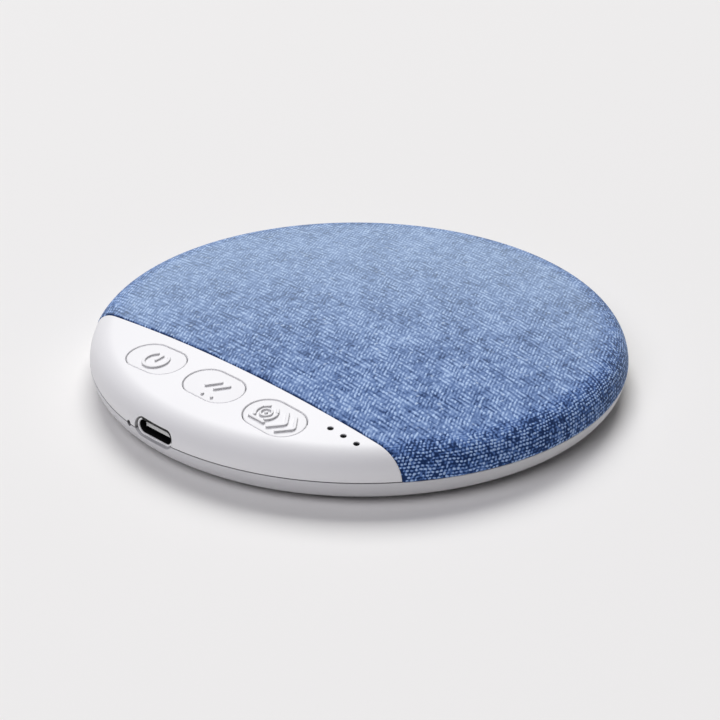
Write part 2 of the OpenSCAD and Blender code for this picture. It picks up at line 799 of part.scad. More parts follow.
module button(i) {
  low = top_wall + flange_gap + flange_t;
  cap_l = button_l - 2 * button_gap;
  cap_w = button_w - 2 * button_gap;
  place = [button_xs[i], button_y, 0];
  intersection() {
    difference() {
      crown(button_sink);
      hollow(low);
    }
    translate(place) linear_extrude(2 * total_h) slot_2d(cap_l, cap_w);
  }
  intersection() {
    difference() {
      crown(top_wall + flange_gap);
      hollow(low);
    }
    translate(place) linear_extrude(2 * total_h) slot_2d(cap_l + 2 * flange_w, cap_w + 2 * flange_w);
  }
  intersection() {
    crown(low - flange_t / 2);
    rod(place, stem_r, plunger_z, 2 * total_h);
  }
  intersection() {
    difference() {
      crown(button_sink - symbol_h);
      hollow(button_sink + flange_t / 2);
    }
    translate(place) linear_extrude(2 * total_h) {
      if (i == 0) power_symbol();
      if (i == 1) pause_symbol();
      if (i == 2) mode_symbol();
    }
  }
}
module power_button() { color("white") button(0); }
module pause_button() { color("white") button(1); }
module mode_button() { color("white") button(2); }

module plunger(i) {
  rod([button_xs[i], button_y], plunger_r, board_top_z + switch_h - plunger_in, plunger_z);
}
module power_plunger() { color("dimgray") plunger(0); }
module pause_plunger() { color("dimgray") plunger(1); }
module mode_plunger() { color("dimgray") plunger(2); }

module switch_body(i) {
  difference() {
    block(button_xs[i], button_y, board_top_z, switch_w, switch_w, switch_h);
    rod([button_xs[i], button_y], plunger_r + plunger_gap,
        board_top_z + switch_h - plunger_in - button_travel - plunger_gap, 2 * total_h);
  }
}
module power_switch() { color("darkslategray") switch_body(0); }
module pause_switch() { color("darkslategray") switch_body(1); }
module mode_switch() { color("darkslategray") switch_body(2); }

module circuit_board() {
  color("darkgreen") difference() {
    intersection() {
      rod([0, 0], board_r, board_low_z, board_top_z);
      slab_y(-far, -board_y);
    }
    for (p = front_screws) rod(p, boss_r + 2 * pass_gap, board_low_z - eps, board_top_z + eps);
    for (p = board_screw_places) rod(p, shank_r + pass_gap, board_low_z - eps, board_top_z + eps);
  }
}
module board_screws() {
  color("silver") for (p = board_screw_places) translate([p[0], p[1], board_top_z]) mirror([0, 0, 1])
    screw(board_head_r, board_head_h, board_top_z - floor_z);
}
module main_chip() { color("black") block(main_chip_x, chip_y, board_top_z, main_chip_w, main_chip_w, chip_h); }
module amplifier_chip() { color("black") block(amp_chip_x, chip_y, board_top_z, amp_chip_w, amp_chip_w, chip_h); }
module charging_chip() {
  color("black") block(charge_chip_x, chip_y, board_top_z, charge_chip_w, charge_chip_w, chip_h);
}
module crystal() { color("silver") block(crystal_x, chip_y, board_top_z, crystal_l, crystal_w, crystal_h); }
module microphone() {
  color("goldenrod") block(mic_x, mic_front + mic_d / 2, board_top_z, mic_w, mic_d, mic_h);
}
module indicator_leds() {
  color("lightyellow") for (x = led_xs) block(x, led_y, board_top_z, led_l, led_w, led_h);
}
module light_baffle() {
  color("black") difference() {
    union() {
      intersection() {
        crown(top_wall + glue_t);
        rod([0, 0], board_r, 0, total_h);
        block(led_x, led_y, 0, 2 * (led_pitch + baffle_half), 2 * baffle_half, total_h);
      }
      intersection() {
        rod([0, 0], board_r, board_top_z, part_z + eps);
        block(led_x, led_y, 0, 2 * (led_pitch + baffle_half), 2 * baffle_half, total_h);
      }
      // Collars that rise into the indicator holes
      for (x = led_xs) intersection() {
        crown(collar_sink);
        rod([x, led_y], led_hole_r - collar_gap, part_z + eps, 2 * total_h);
      }
    }
    for (x = led_xs) {
      intersection() {
        hollow(top_wall + glue_t + baffle_roof);
        rod([x, led_y], baffle_hole_r, 0, 2 * total_h);
      }
      rod([x, led_y], collar_hole_r, 0, 2 * total_h);
    }
  }
}

// A slot-shaped bar that runs back from the socket's face
module port_bar(l, w, from, to) {
  translate([usb_x, usb_front + from, usb_z]) rotate([-90, 0, 0])
    linear_extrude(to - from) slot_2d(l, w);
}
module usb_shell() {
  color("silver") difference() {
    port_bar(usb_w, usb_h, 0, usb_len);
    port_bar(usb_in_w, usb_in_h, -eps, usb_len + eps);
  }
}
module usb_insert() {
  color("black") {
    port_bar(usb_in_w - 2 * thread_gap, usb_in_h - 2 * thread_gap, usb_len - usb_block_len, usb_len);
    translate([usb_x - tongue_w / 2, usb_front + tongue_back, usb_z - tongue_t / 2])
      cube([tongue_w, usb_len - usb_block_len + eps - tongue_back, tongue_t]);
  }
}
module usb_contacts() {
  color("gold") for (i = [0:contact_count - 1]) for (s = [0, 1])
    translate([usb_x + (i - (contact_count - 1) / 2) * contact_pitch - contact_w / 2,
               usb_front + tongue_back + contact_w,
               usb_z + (s == 0 ? tongue_t / 2 : -tongue_t / 2 - contact_t)])
      cube([contact_w, contact_l, contact_t]);
}

module battery_cell() {
  color("lightsteelblue") translate([bat_x, bat_y, bat_z]) linear_extrude(bat_t) {
    square([bat_w, bat_l - 2 * bat_corner_r], center = true);
    square([bat_w - 2 * bat_corner_r, bat_l], center = true);
    for (i = [-1, 1]) for (j = [-1, 1])
      translate([i * (bat_w / 2 - bat_corner_r), j * (bat_l / 2 - bat_corner_r)]) circle(bat_corner_r);
  }
}
module battery_tape() {
  color("white") block(bat_x, bat_y, floor_z, bat_w - 2 * tape_in, bat_l - 2 * tape_in, tape_t);
}
module battery_board() {
  color("darkgreen") block(bat_x, bat_front - cell_board_t / 2, bat_z + (bat_t - cell_board_h) / 2,
                           bat_w - 2 * cell_board_in, cell_board_t, cell_board_h);
}
module battery_wire(side) {
  translate([bat_wire_x + side * wire_half, bat_front - cell_board_t, wire_z]) rotate([90, 0, 0])
    cylinder(h = bat_front - cell_board_t - wire_end, r = wire_r);
}
module battery_wire_red() { color("red") battery_wire(1); }
module battery_wire_black() { color("black") battery_wire(-1); }

module at_driver() {
  translate([0, drv_y, drv_z]) children();
}
module driver_basket() {
  low = -basket_depth;
  floor_out = yoke_r + basket_floor_w;
  window_r = yoke_r + basket_side_t;
  color("darkgray") at_driver() difference() {
    rotate_extrude($fn = turn_fn) polygon([
      [flange_in, 0], [drv_r, 0], [drv_r, -sheet_t], [flange_in + basket_side_t, -sheet_t],
      [floor_out, low], [yoke_in, low], [yoke_in, low + sheet_t],
      [floor_out - basket_side_t, low + sheet_t]]);
    for (a = [0:90:270]) rotate(a)
      translate([window_r, -window_w / 2, low + sheet_t + window_in])
        cube([flange_in - window_r, window_w, basket_depth - 2 * (sheet_t + window_in)]);
  }
}
module driver_yoke() {
  color("gainsboro") at_driver() difference() {
    translate([0, 0, yoke_z]) cylinder(h = drv_depth - basket_depth, r = yoke_r);
    translate([0, 0, magnet_z]) cylinder(h = drv_depth, r = yoke_in);
  }
}
module driver_magnet() {
  color("slategray") at_driver() translate([0, 0, magnet_z]) cylinder(h = magnet_t, r = magnet_r);
}
module driver_pole_plate() {
  color("gainsboro") at_driver() translate([0, 0, pole_z]) cylinder(h = pole_t, r = magnet_r);
}
module voice_coil() {
  color("peru") at_driver() {
    ring(former_r, former_r + former_t, coil_z, -cone_in_z - coil_z);
    ring(former_r + former_t / 2, former_r + former_t + winding_t, coil_z, winding_h);
  }
}
module diaphragm() {
  color("black") at_driver() rotate_extrude($fn = turn_fn) polygon([
    [former_r, -cone_in_z], [former_r + former_t, -cone_in_z], [cone_r, -cone_out_z],
    [cone_r, -cone_out_z + cone_t], [former_r + former_t, -cone_in_z + cone_t],
    [former_r, -cone_in_z + cone_t]]);
}
module dust_cap() {
  rim_r = former_r + former_t;
  ball = (rim_r ^ 2 + cap_rise ^ 2) / (2 * cap_rise);
  color("black") at_driver() translate([0, 0, -cone_in_z + cone_t]) rotate_extrude($fn = turn_fn)
    intersection() {
      square([far, far]);
      translate([0, cap_rise - ball]) difference() {
        circle(ball, $fn = 360);
        circle(ball - cone_t, $fn = 360);
      }
      square([rim_r + 1, far]);
    }
}
module surround() {
  rest = -cone_out_z + cone_t;
  color("dimgray") at_driver() rotate_extrude($fn = turn_fn) {
    intersection() {
      translate([roll_mid, 0]) difference() {
        circle(roll_r);
        circle(roll_r - roll_t);
      }
      translate([0, rest]) square([far, far]);
    }
    translate([cone_r - roll_in_w / 2, rest]) square([roll_mid - roll_r + roll_t - cone_r + roll_in_w / 2, roll_t]);
    translate([roll_mid + roll_r - roll_t, 0]) square([flange_in + roll_out_w - roll_mid - roll_r + roll_t, roll_t]);
  }
}
module driver_gasket() {
  color("black") translate([0, drv_y, 0])
    ring(flange_in + roll_out_w + gasket_gap, drv_r, drv_z, gasket_t);
}
module driver_screws() {
  color("silver") for (p = clamp_places) translate([p[0], p[1], drv_z - sheet_t])
    screw(clamp_head_r, clamp_head_h, clamp_reach);
}
module driver_terminal() {
  color("saddlebrown") translate([-tag_half, tag_y, drv_z - sheet_t - tag_t]) cube([2 * tag_half, tag_w, tag_t]);
}
// Wire from the terminal board down and along to the circuit board
module speaker_wire(side) {
  top = drv_z - sheet_t - tag_t;
  start = tag_y + tag_w / 2;
  translate([side * wire_half, 0, 0]) {
    rod([0, start], wire_r, wire_z + wire_bend, top);
    translate([0, start - wire_bend, wire_z + wire_bend]) rotate([0, 90, 0])
      rotate_extrude(angle = 90) translate([wire_bend, 0]) circle(wire_r);
    translate([0, start - wire_bend, wire_z]) rotate([90, 0, 0])
      cylinder(h = start - wire_bend - wire_end, r = wire_r);
  }
}
module speaker_wire_red() { color("red") speaker_wire(1); }
module speaker_wire_black() { color("black") speaker_wire(-1); }

bottom_shell();
control_panel();
speaker_grille();
fabric_cover();
rubber_feet();
case_screws();
power_button();
pause_button();
mode_button();
power_plunger();
pause_plunger();
mode_plunger();
power_switch();
pause_switch();
mode_switch();
circuit_board();
board_screws();
main_chip();
amplifier_chip();
charging_chip();
crystal();
microphone();
indicator_leds();
light_baffle();
usb_shell();
usb_insert();
usb_contacts();
battery_cell();
battery_tape();
battery_board();
battery_wire_red();
battery_wire_black();
driver_basket();
driver_yoke();
driver_magnet();
driver_pole_plate();
voice_coil();
diaphragm();
dust_cap();
surround();
driver_gasket();
driver_screws();
driver_terminal();
speaker_wire_red();
speaker_wire_black();
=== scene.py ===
"""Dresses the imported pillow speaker: cloth top, control panel, buttons, lower shell, finishes and stage."""

import json
import math

import bpy
import numpy as np
from bpy.props import FloatProperty, FloatVectorProperty, IntProperty, PointerProperty
from mathutils import Matrix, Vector
from mathutils.geometry import delaunay_2d_cdt


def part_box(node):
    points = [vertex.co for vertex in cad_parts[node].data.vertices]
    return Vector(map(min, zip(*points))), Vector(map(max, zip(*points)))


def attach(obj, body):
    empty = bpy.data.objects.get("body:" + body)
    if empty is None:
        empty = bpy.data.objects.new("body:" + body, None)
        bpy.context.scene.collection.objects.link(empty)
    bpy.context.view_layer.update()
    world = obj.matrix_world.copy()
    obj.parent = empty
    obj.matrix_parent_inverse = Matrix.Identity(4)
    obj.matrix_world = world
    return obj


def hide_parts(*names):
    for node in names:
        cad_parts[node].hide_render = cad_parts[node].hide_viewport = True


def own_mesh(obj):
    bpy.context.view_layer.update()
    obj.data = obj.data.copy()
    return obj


bl_info = {
    "name": "Pillow speaker dressing",
    "version": (1, 0, 0),
    "blender": (4, 5, 0),
    "location": "View3D > Sidebar > Speaker",
    "description": "Cloth, panel, buttons, shell, finishes and stage for a packed pillow speaker",
    "category": "Object",
}

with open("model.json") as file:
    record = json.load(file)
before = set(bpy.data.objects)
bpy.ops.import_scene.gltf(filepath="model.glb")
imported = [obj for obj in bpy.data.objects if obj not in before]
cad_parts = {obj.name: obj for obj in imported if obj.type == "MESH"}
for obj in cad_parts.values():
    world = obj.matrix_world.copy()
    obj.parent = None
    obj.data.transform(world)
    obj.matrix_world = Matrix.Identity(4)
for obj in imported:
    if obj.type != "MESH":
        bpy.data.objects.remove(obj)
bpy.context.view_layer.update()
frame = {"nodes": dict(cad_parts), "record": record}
MM = 0.001

# The two coordinates that an outline is drawn in: from above, or from the front
PLAN = (0, 1)
FRONT = (0, 2)

# A distance longer than any on the speaker
FAR = 1.0

# Points along the chord, along the socket's opening, round the driver's surround and round a screw well
CHORD_POINTS = 160
SOCKET_POINTS = 17
ROLL_POINTS = 180
WELL_POINTS = 48

# Points along a straight line or round a tip, and along an arc
LINE_POINTS = 9
ARC_POINTS = 40

# Rings of points over a rounding and over the shoulder, whose first lies inside by this share of a net's step
ROUND_RINGS = 7
SHOULDER_RINGS = 30
SHOULDER_START = 0.6

# Points that lie closer than this, in millimetres, become one
MERGE = 1e-5

# Distances from an edge, in roundings: its last ring of points, the nearest loose point, and its wall
LAST_RING = 1.6
NEAREST_LOOSE = 2.2
WALL_ZONE = 0.3

# Faces that meet at more than this keep a sharp edge
SHARP = math.radians(38)

SHELL_LOW, SHELL_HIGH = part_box("bottom_shell")
CLOTH_LOW, CLOTH_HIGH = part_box("fabric_cover")
SOCKET_LOW, SOCKET_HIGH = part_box("usb_shell")
LIGHTS_LOW, LIGHTS_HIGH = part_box("indicator_leds")
FEET_LOW, FEET_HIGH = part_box("rubber_feet")
SCREWS_LOW, SCREWS_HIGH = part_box("case_screws")
ROLL_LOW, ROLL_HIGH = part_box("surround")
BUTTONS = {"power_button": "power_key", "pause_button": "pause_key", "mode_button": "mode_key"}

# Raised symbols, in millimetres from the middle of the button; arcs go from one angle to another, in degrees
POWER_MIDDLE = (0.45, -0.45)
POWER_R = 2.3
POWER_ARC = (130, 410)
POWER_TOP = (0.45, 1.15)
PAUSE_BARS = (((-1.2, -0.75), (0.45, 1.4)), ((0.95, -0.7), (2.5, 1.4)))
PAUSE_DOTS = ((0.25, -3.0), (2.45, -2.85))
PAUSE_DOT_R = 0.3
RING_MIDDLE = (-2.1, 0.0)
RING_R = 1.25
RING_W = 0.4
RING_DOT_R = 0.32
RING_ARC_R = 2.0
RING_ARCS = ((-50, 20), (160, 230))
RING_LINES = (((-3.7, 1.2), (-3.1, 1.8)), ((-0.5, 1.2), (-1.1, 1.8)), ((-3.8, -2.3), (-0.4, -2.3)))
ARROWS = (((1.0, 2.2), (3.0, -0.2), (1.0, -2.7)), ((3.0, 2.2), (5.0, -0.2), (3.0, -2.7)))
ARROW_TIP_R = 0.5

# Points round the end of a symbol's line, and its rounding as a share of half its width
SYMBOL_CAP = 12
SYMBOL_ROUND = 0.4

# Noise that makes the threads waver: how fine it is per millimetre, and how far it reaches in millimetres
WAVER = ((0.3, 0.55), (1.1, 0.3), (2.4, 0.12))

# Streaks in the cloth: how fine they are per millimetre, along and across
STREAKS = ((2.2, 0.22, 1.0), (0.22, 2.2, 1.0))

# Clumps, patches and clouds in the cloth: how fine their noise is per millimetre, its detail and roughness
MOTTLING = ((0.8, 1.0, 0.5), (0.4, 3.0, 0.6), (0.1, 2.0, 0.5))

# Noise that lets rows or ribs lead, and the values of it between which the lead changes
LEAD = (0.3, 3.0, 0.6)
LEAD_CHANGE = (0.42, 0.58)

# How far apart two neighbouring threads read their noise, the values that count, and the faintest thread
THREAD_STEP = 7.31
THREAD_NOISE = (0.33, 0.67)
FAINTEST = 0.1

# Tones between which the dye goes from dark to middle blue, and from there to light
DARK_TO_MIDDLE = (0.0, 0.5)
MIDDLE_TO_LIGHT = (0.35, 1.1)

# White flecks: the chance values between which they appear, and their edge as a share of their cell
FLECK_CHANCE = (0.62, 0.9)
FLECK_EDGE = (0.12, 0.3)

# Slant between which the painted sheen of pale fibre ends grows, from 0, seen straight on, to 1, seen edge on
PAINTED_SHEEN_SLANT = (0.42, 0.68)

# Grain of a finish: fineness per metre, scale of its broad part, share of its fine part, and height
GRAIN_SCALE = 2500.0
GRAIN_BROAD = 0.03
GRAIN_FINE = 0.35
GRAIN_H = 0.1 * MM

# Shares of its depth, or of half a box's height, between which a front colour fades into painted shade
DEPTH_FADE = 0.7
LOWER_FADE = (0.5, 0.8)
LEFT_FADE = (0.5, 0.9)

# Seeds that keep the families of threads apart
ROW_SEED = 3.7
RIB_SEED = 9.1
RING_SEED = 5.3


def length(name, about, default):
    """A length property in metres."""
    return FloatProperty(name=name, description=about, default=default, unit="LENGTH", precision=5)


def number(name, about, default):
    """A plain number property."""
    return FloatProperty(name=name, description=about, default=default)


def degrees(name, about, default):
    """An angle property, given in degrees."""
    return FloatProperty(name=name, description=about, default=math.radians(default), subtype="ANGLE")


def watts(name, about, default):
    """A property for a lamp's power."""
    return FloatProperty(name=name, description=about, default=default, unit="POWER")


def shade(name, about, default):
    """A colour property, in linear light."""
    return FloatVectorProperty(name=name, description=about, default=default, size=3, subtype="COLOR",
                               min=0.0, max=1.0)


class SpeakerSizes(bpy.types.PropertyGroup):
    """Sizes of the pieces, in metres; those of the whole come from the frame."""

    rim_r: length("Disc radius", "Radius of the disc", SHELL_HIGH.x)
    rim_z: length("Parting height", "Height of the line where the shells meet", CLOTH_LOW.z)
    crown_z: length("Crown height", "Height of the crown's middle", CLOTH_HIGH.z)
    base_z: length("Base height", "Height of the lower shell's flat base", SHELL_LOW.z)
    chord_y: length("Chord", "Place of the chord between cloth and panel", CLOTH_LOW.y)
    shoulder_r: length("Shoulder radius", "Radius between crown and side", 5.2 * MM)
    base_edge_r: length("Base edge radius", "Radius of the lower shell's edge", 4.4 * MM)
    top_wall: length("Panel wall", "Thickness of the panel", 2.0 * MM)
    base_wall: length("Shell wall", "Thickness of the lower shell", 1.5 * MM)
    seam: length("Seam", "Half width of the gap between the shells", 0.065 * MM)
    # Painted shade: the gap between the shells is painted darker by this share
    seam_painted_shade: number("Seam dimming", "How much darker the gap between the shells looks", 0.75)
    cloth_seam: length("Cloth seam", "How far the cloth's lower edge lies over the parting line", 0.02 * MM)
    edge_round: length("Edge rounding", "Rounding of the shells' edges", 0.12 * MM)
    cloth_t: length("Cloth thickness", "Thickness of the stretched cloth", 0.62 * MM)
    cloth_proud: length("Cloth rise", "How far the cloth stands over the panel's face", 0.1 * MM)
    cloth_turn: length("Cloth turn", "How far before the shoulder the weave starts to turn", 2.5 * MM)
    cloth_side: degrees("Cloth side", "Angle before the rim at which the weave runs along it", 40)
    cloth_round: length("Cloth edge", "Rounding of the cloth's edge along the chord", 0.5 * MM)
    button_l: length("Button length", "Length of a button's hole", 12.65 * MM)
    button_w: length("Button width", "Width of a button's hole", 8.45 * MM)
    button_gap: length("Button gap", "Gap round a button", 0.2 * MM)
    button_sink: length("Button depth", "How far a button lies under the panel's face", 0.1 * MM)
    button_round: length("Button rounding", "Rounding of a button and of its hole", 0.15 * MM)
    button_t: length("Button thickness", "Thickness of a button's cap", 2.9 * MM)
    symbol_w: length("Symbol width", "Width of a symbol's lines", 0.6 * MM)
    symbol_h: length("Symbol height", "Height of a raised symbol", 0.35 * MM)
    # Painted shade: a symbol's walls are painted darker by this share
    symbol_painted_shade: number("Symbol dimming", "How much darker a symbol's walls look", 0.3)
    light_hole_r: length("Indicator hole", "Radius of an indicator hole", 0.55 * MM)
    light_round: length("Indicator rounding", "Rounding of an indicator hole", 0.1 * MM)
    light_l: length("Indicator length", "Length of one indicator light", 1.0 * MM)
    # The socket's rim and tongue keep their colour to these depths; further in they are painted dark, a
    # painted shade
    rim_deep: length("Bright rim", "Depth to which the socket's shell is bright", 0.25 * MM)
    tongue_deep: length("Bright tongue", "Depth to which the socket's tongue is bright", 0.1 * MM)
    tongue_back: length("Tongue depth", "How far the socket's tongue lies behind its face", 1.0 * MM)
    socket_gap: length("Socket gap", "Gap between the socket and the shells", 0.15 * MM)
    socket_end_gap: length("Socket end gap", "Gap between the socket's ends and the shells", 0.5 * MM)
    # Painted shade: the walls of the openings and the microphone's hole, and the lip seen through it, are
    # painted darker by these shares
    socket_painted_shade: number("Socket dimming", "How much darker the panel's opening looks inside", 0.75)
    socket_low_painted_shade: number("Low socket dimming", "How much darker the lower opening looks inside", 0.35)
    mic_painted_shade: number("Pinhole dimming", "How much darker the microphone's hole looks inside", 0.93)
    mic_x: length("Microphone place", "Sideways place of the microphone's hole", -8.1 * MM)
    mic_hole_r: length("Microphone hole", "Radius of the microphone's hole", 0.55 * MM)
    foot_gap: length("Foot gap", "Gap round a foot", 0.1 * MM)
    foot_r: length("Foot radius", "Radius of a foot", 4.0 * MM)
    screw_head_r: length("Screw head", "Radius of a case screw's head", 1.6 * MM)
    screw_gap: length("Screw gap", "Gap round a case screw's head", 0.2 * MM)
    recess_round: length("Recess rounding", "Rounding of the recesses in the base", 0.15 * MM)
    lip_inset: length("Lip inset", "How far the lip's outside lies within the rim", 2.25 * MM)
    lip_t: length("Lip thickness", "Thickness of the lip inside the rim", 0.7 * MM)
    lip_deep: length("Lip depth", "How far the lip reaches under the parting line", 1.8 * MM)
    lip_rise: length("Lip rise", "How far the lip stands over the parting line", 0.7 * MM)
    well_fit: length("Well fit", "How far a screw well's tube lies outside the hole in the base", 0.02 * MM)
    well_t: length("Well wall", "From the hole in the base to the outside of a screw well", 0.8 * MM)
    well_deep: length("Well depth", "Depth of a screw well", 2.0 * MM)
    ledge_t: length("Well ledge", "Thickness of the ledge that a screw's head lies on", 0.5 * MM)
    boss_r: length("Boss radius", "Radius of a screw boss", 1.6 * MM)
    boss_hole_r: length("Boss hole", "Radius of the hole through a screw boss", 1.05 * MM)
    roll_r: length("Surround roll", "Radius of the roll of the driver's surround", 0.9 * MM)
    roll_t: length("Surround thickness", "Thickness of the driver's surround", 0.25 * MM)
    roll_in_w: length("Surround inner rim", "Width of the surround's rim on the cone", 0.6 * MM)
    roll_out_w: length("Surround outer rim", "Width of the surround's rim from its roll outwards", 1.2 * MM)
    roll_keep: number("Surround flattening", "Share of the surround's height left at the limit", 0.52)
    net: length("Net", "Distance between points on the wide faces", 1.6 * MM)
    button_net: length("Button net", "Distance between points on a button's face", 0.5 * MM)
    symbol_net: length("Symbol net", "Distance between points on a symbol's face", 0.2 * MM)
    turn: IntProperty(name="Turn", description="Points round the disc", default=480, min=90)


class SpeakerColours(bpy.types.PropertyGroup):
    """Colours and roughness of the pieces that show."""

    panel: shade("Panel", "White plastic of the panel and the buttons", (0.865, 0.86, 0.872))
    panel_rough: number("Panel roughness", "Roughness of the panel", 0.52)
    button_rough: number("Button roughness", "Roughness of the buttons", 0.56)
    # Painted shade: greyer than the panel's white, for the shade on the lower shell's underside
    shell: shade("Shell", "White plastic of the lower shell", (0.70, 0.695, 0.715))
    shell_rough: number("Shell roughness", "Roughness of the lower shell", 0.42)
    yarn_dark: shade("Dark yarn", "Dark gaps between the threads", (0.011, 0.034, 0.12))
    yarn_mid: shade("Middle yarn", "Middle blue of the cloth", (0.135, 0.225, 0.46))
    # Painted shade: a deeper blue on the shoulder
    side_shade_blue: shade("Side yarn", "Middle blue where the cloth bends over the shoulder", (0.11, 0.22, 0.54))
    yarn_light: shade("Light yarn", "Light thread of the cloth", (0.465, 0.625, 0.90))
    fleck: shade("Fleck", "White flecks in the cloth", (0.63, 0.765, 0.95))
    # Painted sheen: a pale colour mixed into the cloth where it is seen at a slant
    painted_sheen: shade("Haze", "Pale fibre ends that show where the cloth is seen at a slant", (0.53, 0.66, 0.80))
    sheen: shade("Sheen", "Colour of the cloth's own sheen", (0.7, 0.84, 1.0))
    tongue: shade("Tongue", "Front of the socket's tongue", (0.80, 0.80, 0.80))
    metal: shade("Metal", "Rim of the socket's shell", (0.95, 0.95, 0.96))
    contact: shade("Contacts", "Brass of the socket's contacts, in its shade", (0.16, 0.12, 0.05))
    # Painted shade inside the socket; the baffle is black of its own
    dark: shade("Dark", "Inside of the socket and the baffle", (0.006, 0.006, 0.007))
    floor: shade("Floor", "Floor and background", (0.855, 0.847, 0.831))


class SpeakerWeave(bpy.types.PropertyGroup):
    """Pattern of the cloth: counts are per millimetre; shares add up to a tone, dark at 0, light at 1."""

    row_count: number("Rows", "Rows of thread, which run along the chord", 1.04)
    row_lean: number("Row lean", "How much the rows lean", 0.08)
    row_fade: number("Row fade", "How often a row's strength changes", 0.6)
    rib_count: number("Ribs", "Ribs of thread, counted along the chord", 1.4)
    rib_lean: number("Rib lean", "How much the ribs lean", 0.77)
    rib_fade: number("Rib fade", "How often a rib's strength changes, counted from the chord", 0.5)
    rib_fade_side: number("Rib side fade", "How often it changes, counted along the chord", -0.27)
    ring_count: number("Rings", "Threads round the rim, on the shoulder", 1.75)
    ring_fade: number("Ring fade", "How often a ring's strength changes", 0.9)
    bead_count: number("Beads", "Beads along a ring", 1.3)
    bead_shift: number("Bead shift", "Share of a bead by which each ring lies beside the next", 0.37)
    bead_low: number("Bead gap", "Strength between the beads", 0.3)
    bead_gain: number("Bead strength", "How much stronger the beads are", 1.5)
    knot_rare: number("Knot rarity", "Power of chance that makes bright crossings rare", 3.0)
    knot_low: number("Faint knots", "Strength of the faintest crossing", 0.3)
    knot_gain: number("Knot strength", "How much stronger the brightest crossing is", 1.6)
    lines: number("Thread share", "Share of the threads in the tone", 0.72)
    knots: number("Knot share", "Share of the crossings in the tone", 0.66)
    knots_side: number("Side knots", "How much of the crossings is left on the shoulder", 0.5)
    streaks: number("Streaks", "Share of the streaks in the tone", 0.8)
    clumps: number("Clumps", "Share of the small clumps in the tone", 0.6)
    patches: number("Patches", "Share of the patches in the tone", 0.8)
    clouds: number("Clouds", "Share of the broad clouds in the tone", 0.8)
    mottle_side: number("Side mottling", "How much of the mottling is left on the shoulder", 0.45)
    tone: number("Tone", "Tone of the cloth", 0.085)
    # Painted light and shade: the top is paler with less contrast, the shoulder darker with more
    top_gain: number("Top contrast", "Contrast on the top", 0.67)
    top_painted_lift: number("Top tone", "What the top's tone gains", 0.23)
    side_gain: number("Side contrast", "Contrast on the shoulder", 1.35)
    side_painted_shade: number("Side tone", "What the shoulder's tone gains", -0.1)
    fold_w: length("Fold width", "Width of the folded edge along the chord", 0.5 * MM)
    # Painted shade: the folded edge along the chord is painted darker by this share
    fold_painted_shade: number("Fold dimming", "How much darker the folded edge is", 0.5)
    fleck_count: number("Flecks", "Cells for white flecks, of which few hold one", 0.75)
    fleck: number("Fleck strength", "Strength of the white flecks", 0.5)
    # Painted sheen: how much pale colour is mixed in at a slant, and how much of that is left on the shoulder
    fuzz: number("Fuzz", "Strength of the sheen from pale fibre ends", 0.35)
    painted_sheen_side: number("Side fuzz", "How much of that sheen is left on the shoulder", 0.15)
    bump_h: length("Thread height", "Height of the threads", 0.12 * MM)
    bump: number("Thread bump", "Share of that height that shades the cloth", 0.5)
    rough_dark: number("Dark roughness", "Roughness of the dark gaps", 0.95)
    rough_light: number("Light roughness", "Roughness of the light thread", 0.8)


class SpeakerStage(bpy.types.PropertyGroup):
    """Camera and light."""

    azimuth: degrees("Azimuth", "Camera's turn round the speaker", 44.24)
    elevation: degrees("Elevation", "Camera's height over the floor", 27.614)
    pan: degrees("Pan", "Turn of the camera to the right", 0.026929)
    tilt: degrees("Tilt", "Turn of the camera upwards", 0.295646)
    roll: degrees("Roll", "Roll of the camera", 0.476)
    distance: length("Distance", "Distance of the camera from the speaker", 425 * MM)
    lens: number("Lens", "Focal length in millimetres", 113.09)
    sensor: number("Sensor", "Width of the camera's sensor in millimetres", 36.0)
    near: length("Near limit", "Distance at which the camera starts to see", 10 * MM)
    key: watts("Key light", "Power of the strip light behind", 338.0)
    key_turn: degrees("Key turn", "Turn of the strip light from straight behind", 0.0)
    key_height: degrees("Key height", "Angle of the strip light over the floor", 48.0)
    key_distance: length("Key distance", "Distance of the strip light from the speaker", 6.0)
    key_width: length("Key width", "Width of the strip light", 4.0)
    key_depth: length("Key depth", "Height of the strip light", 3.0)
    fill: watts("Fill light", "Power of the round fill light", 42.0)
    fill_turn: degrees("Fill turn", "Turn of the fill light from straight behind", -142.0)
    fill_height: degrees("Fill height", "Angle of the fill light over the floor", 52.0)
    fill_distance: length("Fill distance", "Distance of the fill light from the speaker", 3.0)
    fill_size: length("Fill size", "Diameter of the fill light", 2.4)
    sky: number("Sky light", "Strength of the light from all round", 0.05)
    cool: shade("Shade light", "Colour of the fill light and of the light from all round", (0.95, 0.94, 1.0))
    floor_half: length("Floor", "Half the width of the floor", 6.0)


